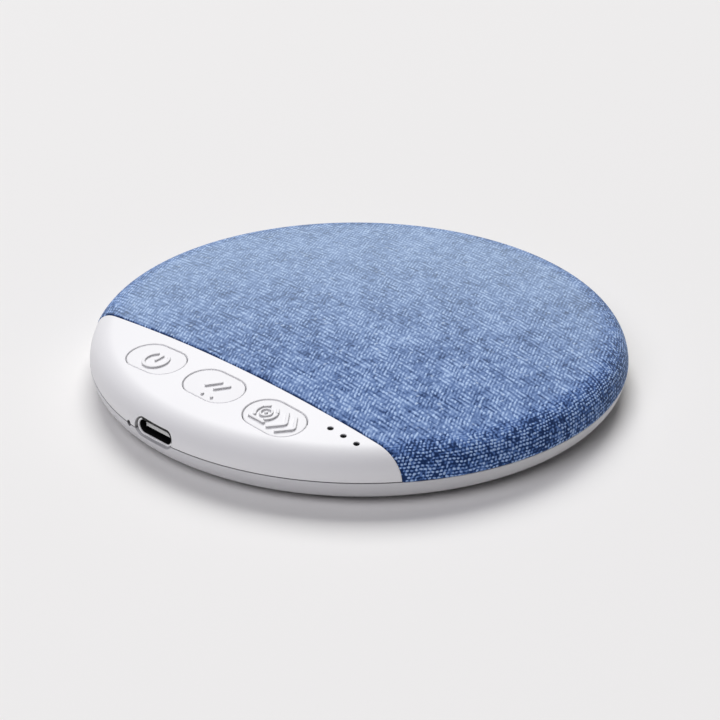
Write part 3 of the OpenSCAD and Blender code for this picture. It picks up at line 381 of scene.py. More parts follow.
class Dome:
    """A round shell: a wide arc over the pole runs tangentially into the shoulder's arc, upright at the rim.

    Its points are given flat, as if the skin were rolled out round the pole: the distance from the middle is
    the arc length along the half section. A pole under the rim makes a base instead of a crown.
    """

    def __init__(self, rim_r, rim_z, pole_z, shoulder_r):
        self.up = math.copysign(1.0, pole_z - rim_z)
        self.rise = abs(pole_z - rim_z)
        self.rim_r = rim_r
        self.rim_z = rim_z
        self.shoulder_r = shoulder_r
        self.inner_r = rim_r - shoulder_r
        self.wide_r = (self.inner_r**2 + self.rise**2 - shoulder_r**2) / (2 * (self.rise - shoulder_r))
        self.join_a = math.asin(self.inner_r / (self.wide_r - shoulder_r))
        self.join_s = self.wide_r * self.join_a
        self.rim_s = self.join_s + shoulder_r * (math.pi / 2 - self.join_a)

    def place(self, flat, lift):
        """Flat points as 3-D ones, moved out along the skin's normal by lift."""
        s = np.hypot(flat[:, 0], flat[:, 1])
        ahead = flat / np.maximum(s, 1e-9)[:, None]
        wide = s < self.join_s
        turn = np.clip((s - self.join_s) / self.shoulder_r, 0, math.pi / 2 - self.join_a)
        angle = np.where(wide, s / self.wide_r, self.join_a + turn)
        r = np.where(wide, self.wide_r * np.sin(angle), self.inner_r + self.shoulder_r * np.sin(angle))
        h = np.where(wide, self.rise - self.wide_r * (1 - np.cos(angle)), self.shoulder_r * np.cos(angle))
        h = h - np.maximum(s - self.rim_s, 0) + lift * np.cos(angle)
        r = r + lift * np.sin(angle)
        return np.column_stack([ahead * r[:, None], self.rim_z + self.up * h])

    def from_plan(self, points):
        """Flat points of those seen from above."""
        r = np.hypot(points[:, 0], points[:, 1])
        low = self.wide_r * np.arcsin(np.clip(r / self.wide_r, 0, 1))
        steep = np.arcsin(np.clip((r - self.inner_r) / self.shoulder_r, 0, 1))
        high = self.join_s + self.shoulder_r * (steep - self.join_a)
        s = np.where(r < self.wide_r * math.sin(self.join_a), low, high)
        return points * (s / np.maximum(r, 1e-9))[:, None]

    def from_front(self, points):
        """Flat points of those on the side towards -Y, given by X and Z."""
        h = self.up * (points[:, 1] - self.rim_z)
        angle = np.arccos(np.clip(h / self.shoulder_r, 0, 1))
        r = self.inner_r + self.shoulder_r * np.sin(angle)
        s = self.join_s + self.shoulder_r * (angle - self.join_a) + np.maximum(-h, 0)
        plan = np.column_stack([points[:, 0], -np.sqrt(r**2 - points[:, 0] ** 2)])
        return plan * (s / r)[:, None]


class Edge:
    """Base of the edges that bound a plate: each rounds the face beside it by its own radius.

    Its dimming is a painted shade: the rounding and the wall below it are painted darker by that share, for
    the shade in a narrow gap.
    """

    closed = True

    def __init__(self, rounding, painted_shade=0.0):
        self.rounding = rounding
        self.painted_shade = painted_shade

    def depths(self):
        """Distances from the edge at which rings of points follow it, close where the rounding is steep."""
        steps = np.linspace(0, math.pi / 2, ROUND_RINGS)
        return np.append(self.rounding * (1 - np.cos(steps)), LAST_RING * self.rounding)

    def drop(self, gap):
        """How far the face lies under its full height: r - sqrt(r^2 - (r - gap)^2) within the rounding r."""
        inside = np.clip(self.rounding - gap, 0, self.rounding)
        return self.rounding - np.sqrt(self.rounding**2 - inside**2)


class Outline(Edge):
    """All that lies within half a width of a path with round ends: a hole, or if solid a raised stroke.

    A path of one point is a circle. axes are the two coordinates that it is drawn in, and one that is drawn
    on the front cuts the front half alone. cap is the number of points round each end.
    """

    def __init__(self, path, half_w, rounding, axes=PLAN, solid=False, cap=20, painted_shade=0.0):
        super().__init__(rounding, painted_shade)
        self.path = np.asarray(path, float)
        self.half_w = half_w
        self.axes = axes
        self.way = -1.0 if solid else 1.0
        self.cap = cap

    def gap(self, points, flat):
        """Distance from the outline into the material."""
        p = points[:, self.axes]
        start = self.path[:-1] if len(self.path) > 1 else self.path
        run = np.diff(self.path, axis=0) if len(self.path) > 1 else np.zeros((1, 2))
        size = np.maximum((run**2).sum(1), 1e-18)
        away = p[:, None, :] - start
        t = np.clip((away * run).sum(2) / size, 0, 1)
        distance = np.sqrt(((away - t[..., None] * run) ** 2).sum(2)).min(1)
        gap = self.way * (distance - self.half_w)
        return np.where(points[:, 1] > 0, FAR, gap) if self.axes == FRONT else gap

    def ring(self, dome, depth):
        """The path's parallel curve, depth inside the material: along one side, round the end and back."""
        w = self.half_w + self.way * depth
        half = np.linspace(-math.pi / 2, math.pi / 2, self.cap)
        if len(self.path) == 1:
            turn = np.linspace(0, 2 * math.pi, 2 * self.cap, endpoint=False)
            loop = self.path + w * np.column_stack([np.cos(turn), np.sin(turn)])
        else:
            along = np.gradient(self.path, axis=0)
            along = along / np.hypot(along[:, 0], along[:, 1])[:, None]
            side = np.column_stack([-along[:, 1], along[:, 0]])
            end = self.path[-1] + w * (np.cos(half)[:, None] * along[-1] + np.sin(half)[:, None] * side[-1])
            back = self.path[0] - w * (np.cos(half)[:, None] * along[0] + np.sin(half)[:, None] * side[0])
            loop = np.vstack([(self.path - w * side)[1:-1], end, (self.path + w * side)[-2:0:-1], back])
        return dome.from_plan(loop) if self.axes == PLAN else dome.from_front(loop)


class Chord(Edge):
    """Straight cut across the disc at one Y; way is 1 where the material lies behind it."""

    closed = False

    def __init__(self, y, way, rounding, count):
        super().__init__(rounding)
        self.y = y
        self.way = way
        self.count = count

    def gap(self, points, flat):
        """Distance behind or before the cut."""
        return self.way * (points[:, 1] - self.y)

    def ring(self, dome, depth):
        """Line parallel to the cut, run on a little past the rim."""
        y = self.y + self.way * depth
        half = math.sqrt(dome.rim_r**2 - y**2)
        x = half * np.sin(np.linspace(-math.pi / 2, math.pi / 2, self.count))
        line = dome.from_plan(np.column_stack([x, np.full(self.count, y)]))
        beyond = 1 + dome.shoulder_r / dome.rim_s
        return np.vstack([line[:1] * beyond, line, line[-1:] * beyond])


class Rim(Edge):
    """The lower edge of a crown or upper edge of a base, short of the parting line by half a seam."""

    def __init__(self, seam, rounding, count, painted_shade=0.0):
        super().__init__(rounding, painted_shade)
        self.seam = seam
        self.count = count

    def gap(self, points, flat):
        """Arc length up to the edge, whose place ring() has taken from the dome."""
        return self.end - np.hypot(flat[:, 0], flat[:, 1])

    def ring(self, dome, depth):
        """Circle round the pole."""
        self.end = dome.rim_s - self.seam
        turn = np.linspace(0, 2 * math.pi, self.count, endpoint=False)
        return (self.end - depth) * np.column_stack([np.cos(turn), np.sin(turn)])


def wide_net(dome, step, count):
    """Loose points for a large plate: a square net on the wide arc and close rings on the shoulder."""
    side = np.arange(-dome.join_s, dome.join_s, step)
    x, y = np.meshgrid(side, side)
    net = np.column_stack([x.ravel(), y.ravel()])
    net = net[np.hypot(net[:, 0], net[:, 1]) < dome.join_s - step]
    s = np.linspace(dome.join_s - SHOULDER_START * step, dome.rim_s, SHOULDER_RINGS)
    turn = np.linspace(0, 2 * math.pi, count, endpoint=False)
    s, turn = np.meshgrid(s, turn)
    rings = np.column_stack([(s * np.cos(turn)).ravel(), (s * np.sin(turn)).ravel()])
    return np.vstack([net, rings])


def small_net(dome, edge, step):
    """Loose points for a small plate: a square net over the outline's box, in plan."""
    low = edge.path.min(0) - edge.half_w
    high = edge.path.max(0) + edge.half_w
    x, y = np.meshgrid(np.arange(low[0], high[0], step), np.arange(low[1], high[1], step))
    return dome.from_plan(np.column_stack([x.ravel(), y.ravel()]))


def plate(dome, edges, net, lift, thick):
    """Closed plate on a dome, cut and rounded along its edges.

    In the rolled-out plane the rings along the edges and the loose points are joined by triangles that keep
    every ring. A point of the face then lies on the dome, moved along its normal by lift less the largest
    drop of the edges near it; the back is the same net, one thickness deeper, and walls join the two.
    Returns points, triangles, walls and the flat points in millimetres, with each point's painted shade.
    """
    loops = [(edge.ring(dome, depth), edge.closed) for edge in edges for depth in edge.depths()]
    first = np.cumsum([0] + [len(loop) for loop, closed in loops])
    links = []
    for (loop, closed), start in zip(loops, first):
        ids = np.arange(len(loop) if closed else len(loop) - 1)
        links.append(start + np.column_stack([ids, (ids + 1) % len(loop)]))
    spots = dome.place(net, 0)
    room = np.min([edge.gap(spots, net) - NEAREST_LOOSE * edge.rounding for edge in edges], axis=0)
    flat = np.vstack([loop for loop, closed in loops] + [net[room > 0]])
    made = delaunay_2d_cdt((flat / MM).tolist(), np.vstack(links).tolist(), [], 0, MERGE, False)
    flat = np.array(made[0]) * MM
    tris = np.array(made[2])
    middle = flat[tris].mean(1)
    spots = dome.place(middle, 0)
    inside = np.min([edge.gap(spots, middle) for edge in edges], axis=0) > 0
    tris = tris[inside]
    used, tris = np.unique(tris, return_inverse=True)
    tris = tris.reshape(-1, 3)
    flat = flat[used]
    spots = dome.place(flat, 0)
    gaps = [np.maximum(edge.gap(spots, flat), 0) for edge in edges]
    drops = [edge.drop(gap) for edge, gap in zip(edges, gaps)]
    drop = np.max(drops, axis=0)
    face = dome.place(flat, lift - drop)
    back = dome.place(flat, np.full(len(flat), lift - thick))
    if dome.up < 0:
        tris = tris[:, ::-1]
    count = len(flat)
    sides = np.vstack([tris[:, [0, 1]], tris[:, [1, 2]], tris[:, [2, 0]]])
    code = sides.min(1) * count + sides.max(1)
    where, times = np.unique(code, return_index=True, return_counts=True)[1:]
    open_sides = sides[where[times == 1]]
    walls = np.column_stack([open_sides[:, ::-1], open_sides + count])
    # Painted shade: the roundings and walls of edges that have a dimming are painted darker
    painted_shade_face = np.max([edge.painted_shade * drop / edge.rounding for edge, drop in zip(edges, drops)], axis=0)
    at_wall = [gap < WALL_ZONE * edge.rounding for edge, gap in zip(edges, gaps)]
    painted_shade_back = np.max([edge.painted_shade * near for edge, near in zip(edges, at_wall)], axis=0)
    rolled = np.column_stack([np.vstack([flat, flat]) / MM, np.append(painted_shade_face, painted_shade_back)])
    return np.vstack([face, back]), np.vstack([tris, tris[:, ::-1] + count]), walls, rolled


def lathe(section, middle, count, start=0.0, sweep=2 * math.pi, painted_shade=0.0):
    """Closed ring: a counterclockwise section of radius and height points goes round an upright axis.

    A sweep of less than a whole turn makes an open ring, with its section closing both ends. The dimming is a
    painted shade: how much darker the whole ring is painted.
    """
    section = np.asarray(section, float)
    n = len(section)
    whole = sweep > 2 * math.pi - 1e-9
    turn = np.linspace(start, start + sweep, count, endpoint=not whole)
    r = section[:, 0]
    points = np.stack([middle[0] + np.outer(np.cos(turn), r), middle[1] + np.outer(np.sin(turn), r),
                       np.tile(section[:, 1], (count, 1))], axis=2).reshape(-1, 3)
    i, j = np.meshgrid(np.arange(count if whole else count - 1), np.arange(n), indexing="ij")
    ahead = (i + 1) % count * n
    quads = np.stack([i * n + j, ahead + j, ahead + (j + 1) % n, i * n + (j + 1) % n], axis=2).reshape(-1, 4)
    if not whole:
        ends = np.arange(n)
        quads = np.vstack([quads, ends, (count - 1) * n + ends[::-1]])
    rolled = np.column_stack([points[:, :2] / MM, np.full(len(points), painted_shade)])
    return points, np.zeros((0, 3), int), quads, rolled


def make_piece(name, shells, body, node, finish):
    """One mesh object of several closed shells, which stands for a CAD node and rides on a body."""
    points = np.vstack([shell[0] for shell in shells])
    first = np.cumsum([0] + [len(shell[0]) for shell in shells])
    faces = []
    for shell, start in zip(shells, first):
        faces += (shell[1] + start).tolist() + (shell[2] + start).tolist()
    mesh = bpy.data.meshes.new(name)
    mesh.from_pydata(points.tolist(), [], faces)
    # The attribute holds the rolled-out place and, as its third part, the painted shade
    rolled = mesh.attributes.new("rolled_out", "FLOAT_VECTOR", "POINT")
    rolled.data.foreach_set("vector", np.vstack([shell[3] for shell in shells]).ravel())
    mesh.shade_smooth()
    mesh.set_sharp_from_angle(angle=SHARP)
    mesh.materials.append(finish)
    mesh.validate()
    mesh.update()
    piece = bpy.data.objects.new(name, mesh)
    bpy.context.scene.collection.objects.link(piece)
    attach(piece, body)
    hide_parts(node)
    return piece


class Net:
    """Shorthand for building a node tree: sockets go in, sockets come out."""

    def __init__(self, tree):
        self.tree = tree

    def node(self, kind, inputs=None, **settings):
        """A node with its settings; each named or numbered input is linked to a socket or set to a value."""
        made = self.tree.nodes.new(kind)
        for key, value in settings.items():
            setattr(made, key, value)
        for key, value in (inputs or {}).items():
            if isinstance(value, bpy.types.NodeSocket):
                self.tree.links.new(value, made.inputs[key])
            else:
                made.inputs[key].default_value = value
        return made

    def math(self, operation, a, b=0.0, c=0.0, clamp=False):
        """Result of one sum."""
        made = self.node("ShaderNodeMath", {0: a, 1: b, 2: c}, operation=operation, use_clamp=clamp)
        return made.outputs[0]

    def noise(self, vector, scale, detail, roughness=0.5):
        """Fractal noise from 0 to 1."""
        made = self.node("ShaderNodeTexNoise", {"Vector": vector, "Scale": scale, "Detail": detail,
                                                "Roughness": roughness})
        return made.outputs["Fac"]

    def wave(self, cycles):
        """A sine from 0 to 1 over each whole cycle."""
        sine = self.math("SINE", self.math("MULTIPLY", cycles, 2 * math.pi))
        return self.math("MULTIPLY_ADD", sine, 0.5, 0.5)

    def ridge(self, cycles):
        """The same sine, lowest at each whole number."""
        return self.wave(self.math("SUBTRACT", cycles, 0.25))

    def weigh(self, first, *others):
        """Sum of sockets, each given with its share."""
        total = self.math("MULTIPLY", *first)
        for value, share in others:
            total = self.math("MULTIPLY_ADD", value, share, total)
        return total

    def ease(self, factor, low, high):
        """A number that goes from low to high with a factor."""
        return self.math("MULTIPLY_ADD", factor, high - low, low)

    def vector(self, operation, a, b=None, scale=1.0):
        """Result of one sum of vectors."""
        inputs = {0: a, "Scale": scale} if b is None else {0: a, 1: b}
        return self.node("ShaderNodeVectorMath", inputs, operation=operation).outputs[0]

    def size(self, vector):
        """Length of a vector."""
        return self.node("ShaderNodeVectorMath", {0: vector}, operation="LENGTH").outputs["Value"]

    def parts(self, vector):
        """X, Y and Z of a vector."""
        return self.node("ShaderNodeSeparateXYZ", {0: vector}).outputs

    def stretch(self, vector, scale):
        """A vector scaled by axis."""
        return self.node("ShaderNodeMapping", {"Vector": vector, "Scale": scale}).outputs["Vector"]

    def span(self, value, low, high, to_low=0.0, to_high=1.0):
        """A value from one range eased into another."""
        made = self.node("ShaderNodeMapRange", {"Value": value, "From Min": low, "From Max": high,
                                                "To Min": to_low, "To Max": to_high},
                         interpolation_type="SMOOTHSTEP")
        return made.outputs["Result"]

    def mix(self, factor, a, b):
        """Two colours mixed; a mix node has its factor at input 0 and its colours at inputs 6 and 7."""
        return self.node("ShaderNodeMix", {0: factor, 6: a, 7: b}, data_type="RGBA").outputs[2]


def rgba(colour):
    """A colour with full opacity."""
    return (colour[0], colour[1], colour[2], 1.0)


def grain_group():
    """Node group of a fine grain: noise at two scales varies colour and roughness, and gives a height."""
    name = "fine_grain"
    if name in bpy.data.node_groups:
        return bpy.data.node_groups[name]
    tree = bpy.data.node_groups.new(name, "ShaderNodeTree")
    for title, kind, default in (
        ("Vector", "NodeSocketVector", None), ("Colour", "NodeSocketColor", None),
        ("Roughness", "NodeSocketFloat", 0.5), ("Scale", "NodeSocketFloat", 1.0),
        ("Tint", "NodeSocketFloat", 0.1), ("Unevenness", "NodeSocketFloat", 0.1),
    ):
        made = tree.interface.new_socket(title, in_out="INPUT", socket_type=kind)
        if default is not None:
            made.default_value = default
    for title, kind in (("Colour", "NodeSocketColor"), ("Roughness", "NodeSocketFloat"),
                        ("Height", "NodeSocketFloat")):
        tree.interface.new_socket(title, in_out="OUTPUT", socket_type=kind)
    net = Net(tree)
    given = net.node("NodeGroupInput").outputs
    fine = net.noise(given["Vector"], given["Scale"], 3.0, 0.6)
    broad_scale = net.math("MULTIPLY", given["Scale"], GRAIN_BROAD)
    broad = net.noise(given["Vector"], broad_scale, 3.0, 0.5)
    both = net.weigh((fine, GRAIN_FINE), (broad, 1 - GRAIN_FINE))
    shift = net.math("SUBTRACT", both, 0.5)
    gain = net.math("MULTIPLY_ADD", shift, given["Tint"], 1.0)
    tinted = net.vector("SCALE", given["Colour"], scale=gain)
    rough = net.math("MULTIPLY_ADD", shift, given["Unevenness"], given["Roughness"], clamp=True)
    net.node("NodeGroupOutput", {"Colour": tinted, "Roughness": rough, "Height": fine})
    return tree


def new_finish(name, colour):
    """An empty material, with the colour that it has in a plain view."""
    made = bpy.data.materials.new(name)
    made.use_nodes = True
    made.node_tree.nodes.clear()
    made.diffuse_color = rgba(colour)
    return made, Net(made.node_tree)


def grained(name, colour, roughness, tint=0.06, unevenness=0.12, bump=0.05, **sockets):
    """A material whose colour, roughness and height vary with the fine grain, darkened by the piece's painted
    shade.
    """
    made, net = new_finish(name, colour)
    where = net.node("ShaderNodeTexCoord").outputs["Object"]
    grain = net.node("ShaderNodeGroup", node_tree=grain_group())
    made.node_tree.links.new(where, grain.inputs["Vector"])
    for title, value in (("Colour", rgba(colour)), ("Roughness", roughness), ("Scale", GRAIN_SCALE),
                         ("Tint", tint), ("Unevenness", unevenness)):
        grain.inputs[title].default_value = value
    bumped = net.node("ShaderNodeBump", {"Height": grain.outputs["Height"], "Strength": bump,
                                         "Distance": GRAIN_H})
    rolled = net.node("ShaderNodeAttribute", attribute_name="rolled_out").outputs["Vector"]
    # The third part of rolled_out is the painted shade, which darkens the colour
    left = net.math("SUBTRACT", 1.0, net.parts(rolled)[2])
    shader = net.node("ShaderNodeBsdfPrincipled", {
        "Base Color": net.vector("SCALE", grain.outputs["Colour"], scale=left),
        "Roughness": grain.outputs["Roughness"], "Normal": bumped.outputs["Normal"], **sockets})
    net.node("ShaderNodeOutputMaterial", {"Surface": shader.outputs[0]})
    return made


def satin(name, colour, roughness):
    """The smooth white plastic of the shells and the buttons."""
    return grained(name, colour, roughness, tint=0.02, bump=0.03)


FINISHES = {
    "matte_plastic": dict(roughness=0.45),
    "gloss_plastic": dict(roughness=0.22, bump=0.02),
    "rubber": dict(roughness=0.75, bump=0.15, tint=0.15),
    "brushed_steel": dict(roughness=0.28, tint=0.12, Metallic=1.0),
    "brass": dict(roughness=0.3, tint=0.15, Metallic=1.0),
    "aluminium": dict(roughness=0.35, tint=0.1, Metallic=0.9),
    "cast_iron": dict(roughness=0.4, tint=0.15, Metallic=0.9),
    "painted_metal": dict(roughness=0.5, bump=0.1),
    "fabric": dict(roughness=0.9, bump=0.3),
}


def plain_finishes():
    """A grained material for each slot of the record, from its class and base colour."""
    return {entry["slot"]: grained(entry["slot"], entry["base_color"], **FINISHES[entry["class"]])
            for entry in frame["record"]["materials"]}


def threads(net, across, along, seed):
    """A family of threads: a sine across them, with a strength that differs by thread and along it."""
    own = net.math("MULTIPLY", net.math("FLOOR", across), THREAD_STEP)
    spot = net.node("ShaderNodeCombineXYZ", {0: own, 1: along, 2: seed}).outputs[0]
    strength = net.span(net.noise(spot, 1.0, 1.0), *THREAD_NOISE, FAINTEST, 1.0)
    return net.math("MULTIPLY", net.ridge(across), strength)


def wavering(net, point):
    """A point moved by noise at three scales, so that the threads waver."""
    moved = point
    for scale, reach in WAVER:
        noise = net.node("ShaderNodeTexNoise", {"Vector": point, "Scale": scale, "Detail": 1.0})
        drift = net.vector("SUBTRACT", noise.outputs["Color"], (0.5, 0.5, 0.5))
        moved = net.vector("ADD", moved, net.vector("SCALE", drift, scale=reach))
    return moved


def top_threads(net, weave, rolled, bent):
    """Rows and ribs, of which slow noise lets now one and now the other lead, and knots where they cross."""
    x, y = net.parts(bent)[:2]
    row = net.weigh((y, weave.row_count), (x, weave.row_lean))
    rib = net.weigh((y, weave.rib_lean), (x, weave.rib_count))
    rows = threads(net, row, net.math("MULTIPLY", x, weave.row_fade), ROW_SEED)
    ribs = threads(net, rib, net.weigh((y, weave.rib_fade), (x, weave.rib_fade_side)), RIB_SEED)
    lead = net.span(net.noise(rolled, *LEAD), *LEAD_CHANGE)
    lines = net.math("MULTIPLY_ADD", lead, net.math("SUBTRACT", ribs, rows), rows)
    place = {0: net.math("FLOOR", rib), 1: net.math("FLOOR", row)}
    cell = net.node("ShaderNodeCombineXYZ", place).outputs[0]
    chance = net.node("ShaderNodeTexWhiteNoise", {"Vector": cell}, noise_dimensions="3D").outputs["Value"]
    rare = net.math("POWER", chance, weave.knot_rare)
    bright = net.math("MULTIPLY_ADD", rare, weave.knot_gain, weave.knot_low)
    crossing = net.math("MULTIPLY", net.ridge(row), net.ridge(rib))
    return lines, net.math("MULTIPLY", crossing, bright)


def side_threads(net, weave, bent, side_s):
    """Rings round the crown, each strung with beads that lie beside those of the next ring."""
    x, y = net.parts(bent)[:2]
    ring = net.math("MULTIPLY", net.size(bent), weave.ring_count)
    turned = net.math("MULTIPLY", net.math("ARCTAN2", y, x), side_s / MM)
    rings = threads(net, ring, net.math("MULTIPLY", turned, weave.ring_fade), RING_SEED)
    bead = net.weigh((turned, weave.bead_count), (net.math("FLOOR", ring), weave.bead_shift))
    strung = net.math("MULTIPLY_ADD", net.wave(bead), weave.bead_gain, weave.bead_low)
    return net.math("MULTIPLY", rings, strung)


def mottling(net, weave, rolled, bent):
    """Streaks along and across, clumps, patches and clouds of noise, weighed and summed round 0."""
    along, across = (net.noise(net.stretch(bent, fine), 1.0, 2.0) for fine in STREAKS)
    streaks = net.math("SUBTRACT", net.math("ADD", along, across), 1.0)
    terms = [(streaks, weave.streaks)]
    for shape, share in zip(MOTTLING, (weave.clumps, weave.patches, weave.clouds)):
        terms.append((net.math("SUBTRACT", net.noise(rolled, *shape), 0.5), share))
    return net.weigh(*terms)


def cloth_finish(colours, weave, chord_y, top_s, side_s):
    """Heathered plain weave on the rolled-out coordinates, in millimetres.

    On the top, rows along the chord cross ribs that lean. Between the distances top_s and side_s from the
    middle they give way to beaded rings round the rim. Threads, knots and mottling add up to a tone, which
    runs from the dark gaps over the middle blue to the light thread. Painted light and shade: the top's tone
    is lifted and its contrast lowered, the shoulder is painted darker, bluer and with more contrast, and the
    folded edge along the chord is painted darker. White flecks lie on the top, and a painted sheen, a paler
    colour mixed in where the cloth is seen at a slant, stands for fibre ends catching the light.
    """
    made, net = new_finish("cloth_blue_weave", colours.yarn_mid)
    rolled = net.node("ShaderNodeAttribute", attribute_name="rolled_out").outputs["Vector"]
    bent = wavering(net, rolled)
    upward = net.span(net.size(rolled), top_s / MM, side_s / MM, 1.0, 0.0)
    lines, knots = top_threads(net, weave, rolled, bent)
    rings = side_threads(net, weave, bent, side_s)
    lines = net.math("MULTIPLY_ADD", upward, net.math("SUBTRACT", lines, rings), rings)
    knots = net.math("MULTIPLY", knots, net.ease(upward, weave.knots_side, 1.0))
    woven = net.weigh((knots, weave.knots), (lines, weave.lines))
    mottled = net.math("MULTIPLY_ADD", mottling(net, weave, rolled, bent),
                       net.ease(upward, weave.mottle_side, 1.0), woven)
    # Painted light and shade: the top's tone is lifted and its contrast lowered, the shoulder's darkened and
    # its contrast raised
    tone = net.math("MULTIPLY", net.math("ADD", mottled, weave.tone),
                    net.ease(upward, weave.side_gain, weave.top_gain))
    tone = net.math("ADD", tone, net.ease(upward, weave.side_painted_shade, weave.top_painted_lift))
    # Painted shade: the cloth is darker along the folded edge at the chord
    place = net.parts(net.node("ShaderNodeTexCoord").outputs["Object"])
    fold_shade = net.span(net.math("SUBTRACT", place[1], chord_y), 0.0, weave.fold_w, weave.fold_painted_shade, 0.0)
    tone = net.math("SUBTRACT", tone, fold_shade)
    # Painted shade: the middle blue is deeper on the shoulder
    middle = net.mix(upward, rgba(colours.side_shade_blue), rgba(colours.yarn_mid))
    dyed = net.mix(net.span(tone, *DARK_TO_MIDDLE), rgba(colours.yarn_dark), middle)
    dyed = net.mix(net.span(tone, *MIDDLE_TO_LIGHT), dyed, rgba(colours.yarn_light))
    spots = net.node("ShaderNodeTexVoronoi", {"Vector": bent, "Scale": weave.fleck_count}).outputs
    chance = net.node("ShaderNodeSeparateColor", {0: spots["Color"]}).outputs[0]
    rare = net.math("MULTIPLY", net.span(chance, *FLECK_CHANCE), upward)
    fleck = net.math("MULTIPLY", net.span(spots["Distance"], *FLECK_EDGE, weave.fleck, 0.0), rare)
    dyed = net.mix(fleck, dyed, rgba(colours.fleck))
    # Painted sheen: Layer Weight mixes a pale colour into the base colour where the cloth is seen at a slant
    facing = net.node("ShaderNodeLayerWeight", {"Blend": 0.5}).outputs["Facing"]
    fuzz = net.math("MULTIPLY", net.span(facing, *PAINTED_SHEEN_SLANT, 0.0, weave.fuzz),
                    net.ease(upward, weave.painted_sheen_side, 1.0))
    bumped = net.node("ShaderNodeBump", {"Height": woven, "Strength": weave.bump, "Distance": weave.bump_h})
    shader = net.node("ShaderNodeBsdfPrincipled", {
        "Base Color": net.mix(fuzz, dyed, rgba(colours.painted_sheen)),
        "Roughness": net.span(tone, 0.0, 1.0, weave.rough_dark, weave.rough_light),
        "Normal": bumped.outputs["Normal"], "Sheen Weight": 0.15, "Sheen Roughness": 0.45,
        "Sheen Tint": rgba(colours.sheen), "Specular IOR Level": 0.15})
    net.node("ShaderNodeOutputMaterial", {"Surface": shader.outputs[0]})
    return made


def fronted(name, front_y, deep, front_colour, shade_colour, roughness, box=None):
    """A finish that has one colour down to some depth behind a front plane, and a dark one further in, a
    painted shade.

    With a box, given by two corners, the front colour keeps to the box's lower side and left end, a painted
    light where light falls, and the rest of the box is painted dark.
    """
    made, net = new_finish(name, front_colour)
    where = net.node("ShaderNodeTexCoord").outputs["Object"]
    place = net.parts(where)
    near = net.span(net.math("SUBTRACT", place[1], front_y), DEPTH_FADE * deep, deep, 1.0, 0.0)
    if box:
        low, high = box
        half_h = (high.z - low.z) / 2
        lower = net.span(place[2], *(low.z + share * half_h for share in LOWER_FADE), 1.0, 0.0)
        left = net.span(place[0], *(low.x + share * half_h for share in LEFT_FADE), 1.0, 0.0)
        near = net.math("MULTIPLY", near, net.math("MAXIMUM", lower, left))
    grain = net.node("ShaderNodeGroup", node_tree=grain_group())
    colour = net.mix(near, rgba(shade_colour), rgba(front_colour))
    for title, value in (("Vector", where), ("Colour", colour)):
        made.node_tree.links.new(value, grain.inputs[title])
    grain.inputs["Roughness"].default_value = roughness
    grain.inputs["Scale"].default_value = GRAIN_SCALE
    shader = net.node("ShaderNodeBsdfPrincipled", {
        "Base Color": grain.outputs["Colour"], "Roughness": grain.outputs["Roughness"],
        "Specular IOR Level": 0.2})
    net.node("ShaderNodeOutputMaterial", {"Surface": shader.outputs[0]})
    return made


def crown_of(sizes):
    """The upper shells' dome."""
    return Dome(sizes.rim_r, sizes.rim_z, sizes.crown_z, sizes.shoulder_r)


def base_of(sizes):
    """The lower shell's dome, pole down."""
    return Dome(sizes.rim_r, sizes.rim_z, sizes.base_z, sizes.base_edge_r)


def straight(a, b, count=LINE_POINTS):
    """Points along a straight line."""
    t = np.linspace(0, 1, count)[:, None]
    return np.asarray(a) * (1 - t) + np.asarray(b) * t


def arc(middle, r, start, end):
    """Points along an arc, with angles in degrees."""
    turn = np.radians(np.linspace(start, end, ARC_POINTS))
    return np.asarray(middle) + r * np.column_stack([np.cos(turn), np.sin(turn)])


def bent_line(a, tip, b, r):
    """Points along two straight strokes that meet at a tip, rounded there by a curve of about radius r."""
    a, tip, b = (np.asarray(p, float) for p in (a, tip, b))
    to_a = (a - tip) / np.linalg.norm(a - tip)
    to_b = (b - tip) / np.linalg.norm(b - tip)
    t = np.linspace(0, 1, LINE_POINTS)[:, None]
    curve = (1 - t) ** 2 * (tip + r * to_a) + 2 * t * (1 - t) * tip + t**2 * (tip + r * to_b)
    return np.vstack([straight(a, tip + r * to_a)[:-1], curve, straight(tip + r * to_b, b)[1:]])


def button_middle(node):
    """Middle of a button in plan, from its CAD node."""
    low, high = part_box(node)
    return np.array([(low.x + high.x) / 2, (low.y + high.y) / 2])


def button_path(node, sizes):
    """Middle line of a button's outline."""
    half = (sizes.button_l - sizes.button_w) / 2
    middle = button_middle(node)
    return straight(middle - (half, 0), middle + (half, 0))


def port_edges(sizes, rounding, painted_shade):
    """The socket's opening and the microphone's hole, drawn on the front; their roundings and walls are
    painted darker, a painted shade.
    """
    middle = np.array([(SOCKET_LOW.x + SOCKET_HIGH.x) / 2, (SOCKET_LOW.z + SOCKET_HIGH.z) / 2])
    half_h = (SOCKET_HIGH.z - SOCKET_LOW.z) / 2
    half_w = half_h + sizes.socket_gap
    half_l = (SOCKET_HIGH.x - SOCKET_LOW.x) / 2 + sizes.socket_end_gap - half_w
    path = straight(middle - (half_l, 0), middle + (half_l, 0), SOCKET_POINTS)
    socket = Outline(path, half_w, rounding, FRONT, painted_shade=painted_shade)
    mic = Outline([(sizes.mic_x, sizes.rim_z)], sizes.mic_hole_r, 0.5 * rounding, FRONT, painted_shade=sizes.mic_painted_shade)
    return [socket, mic]


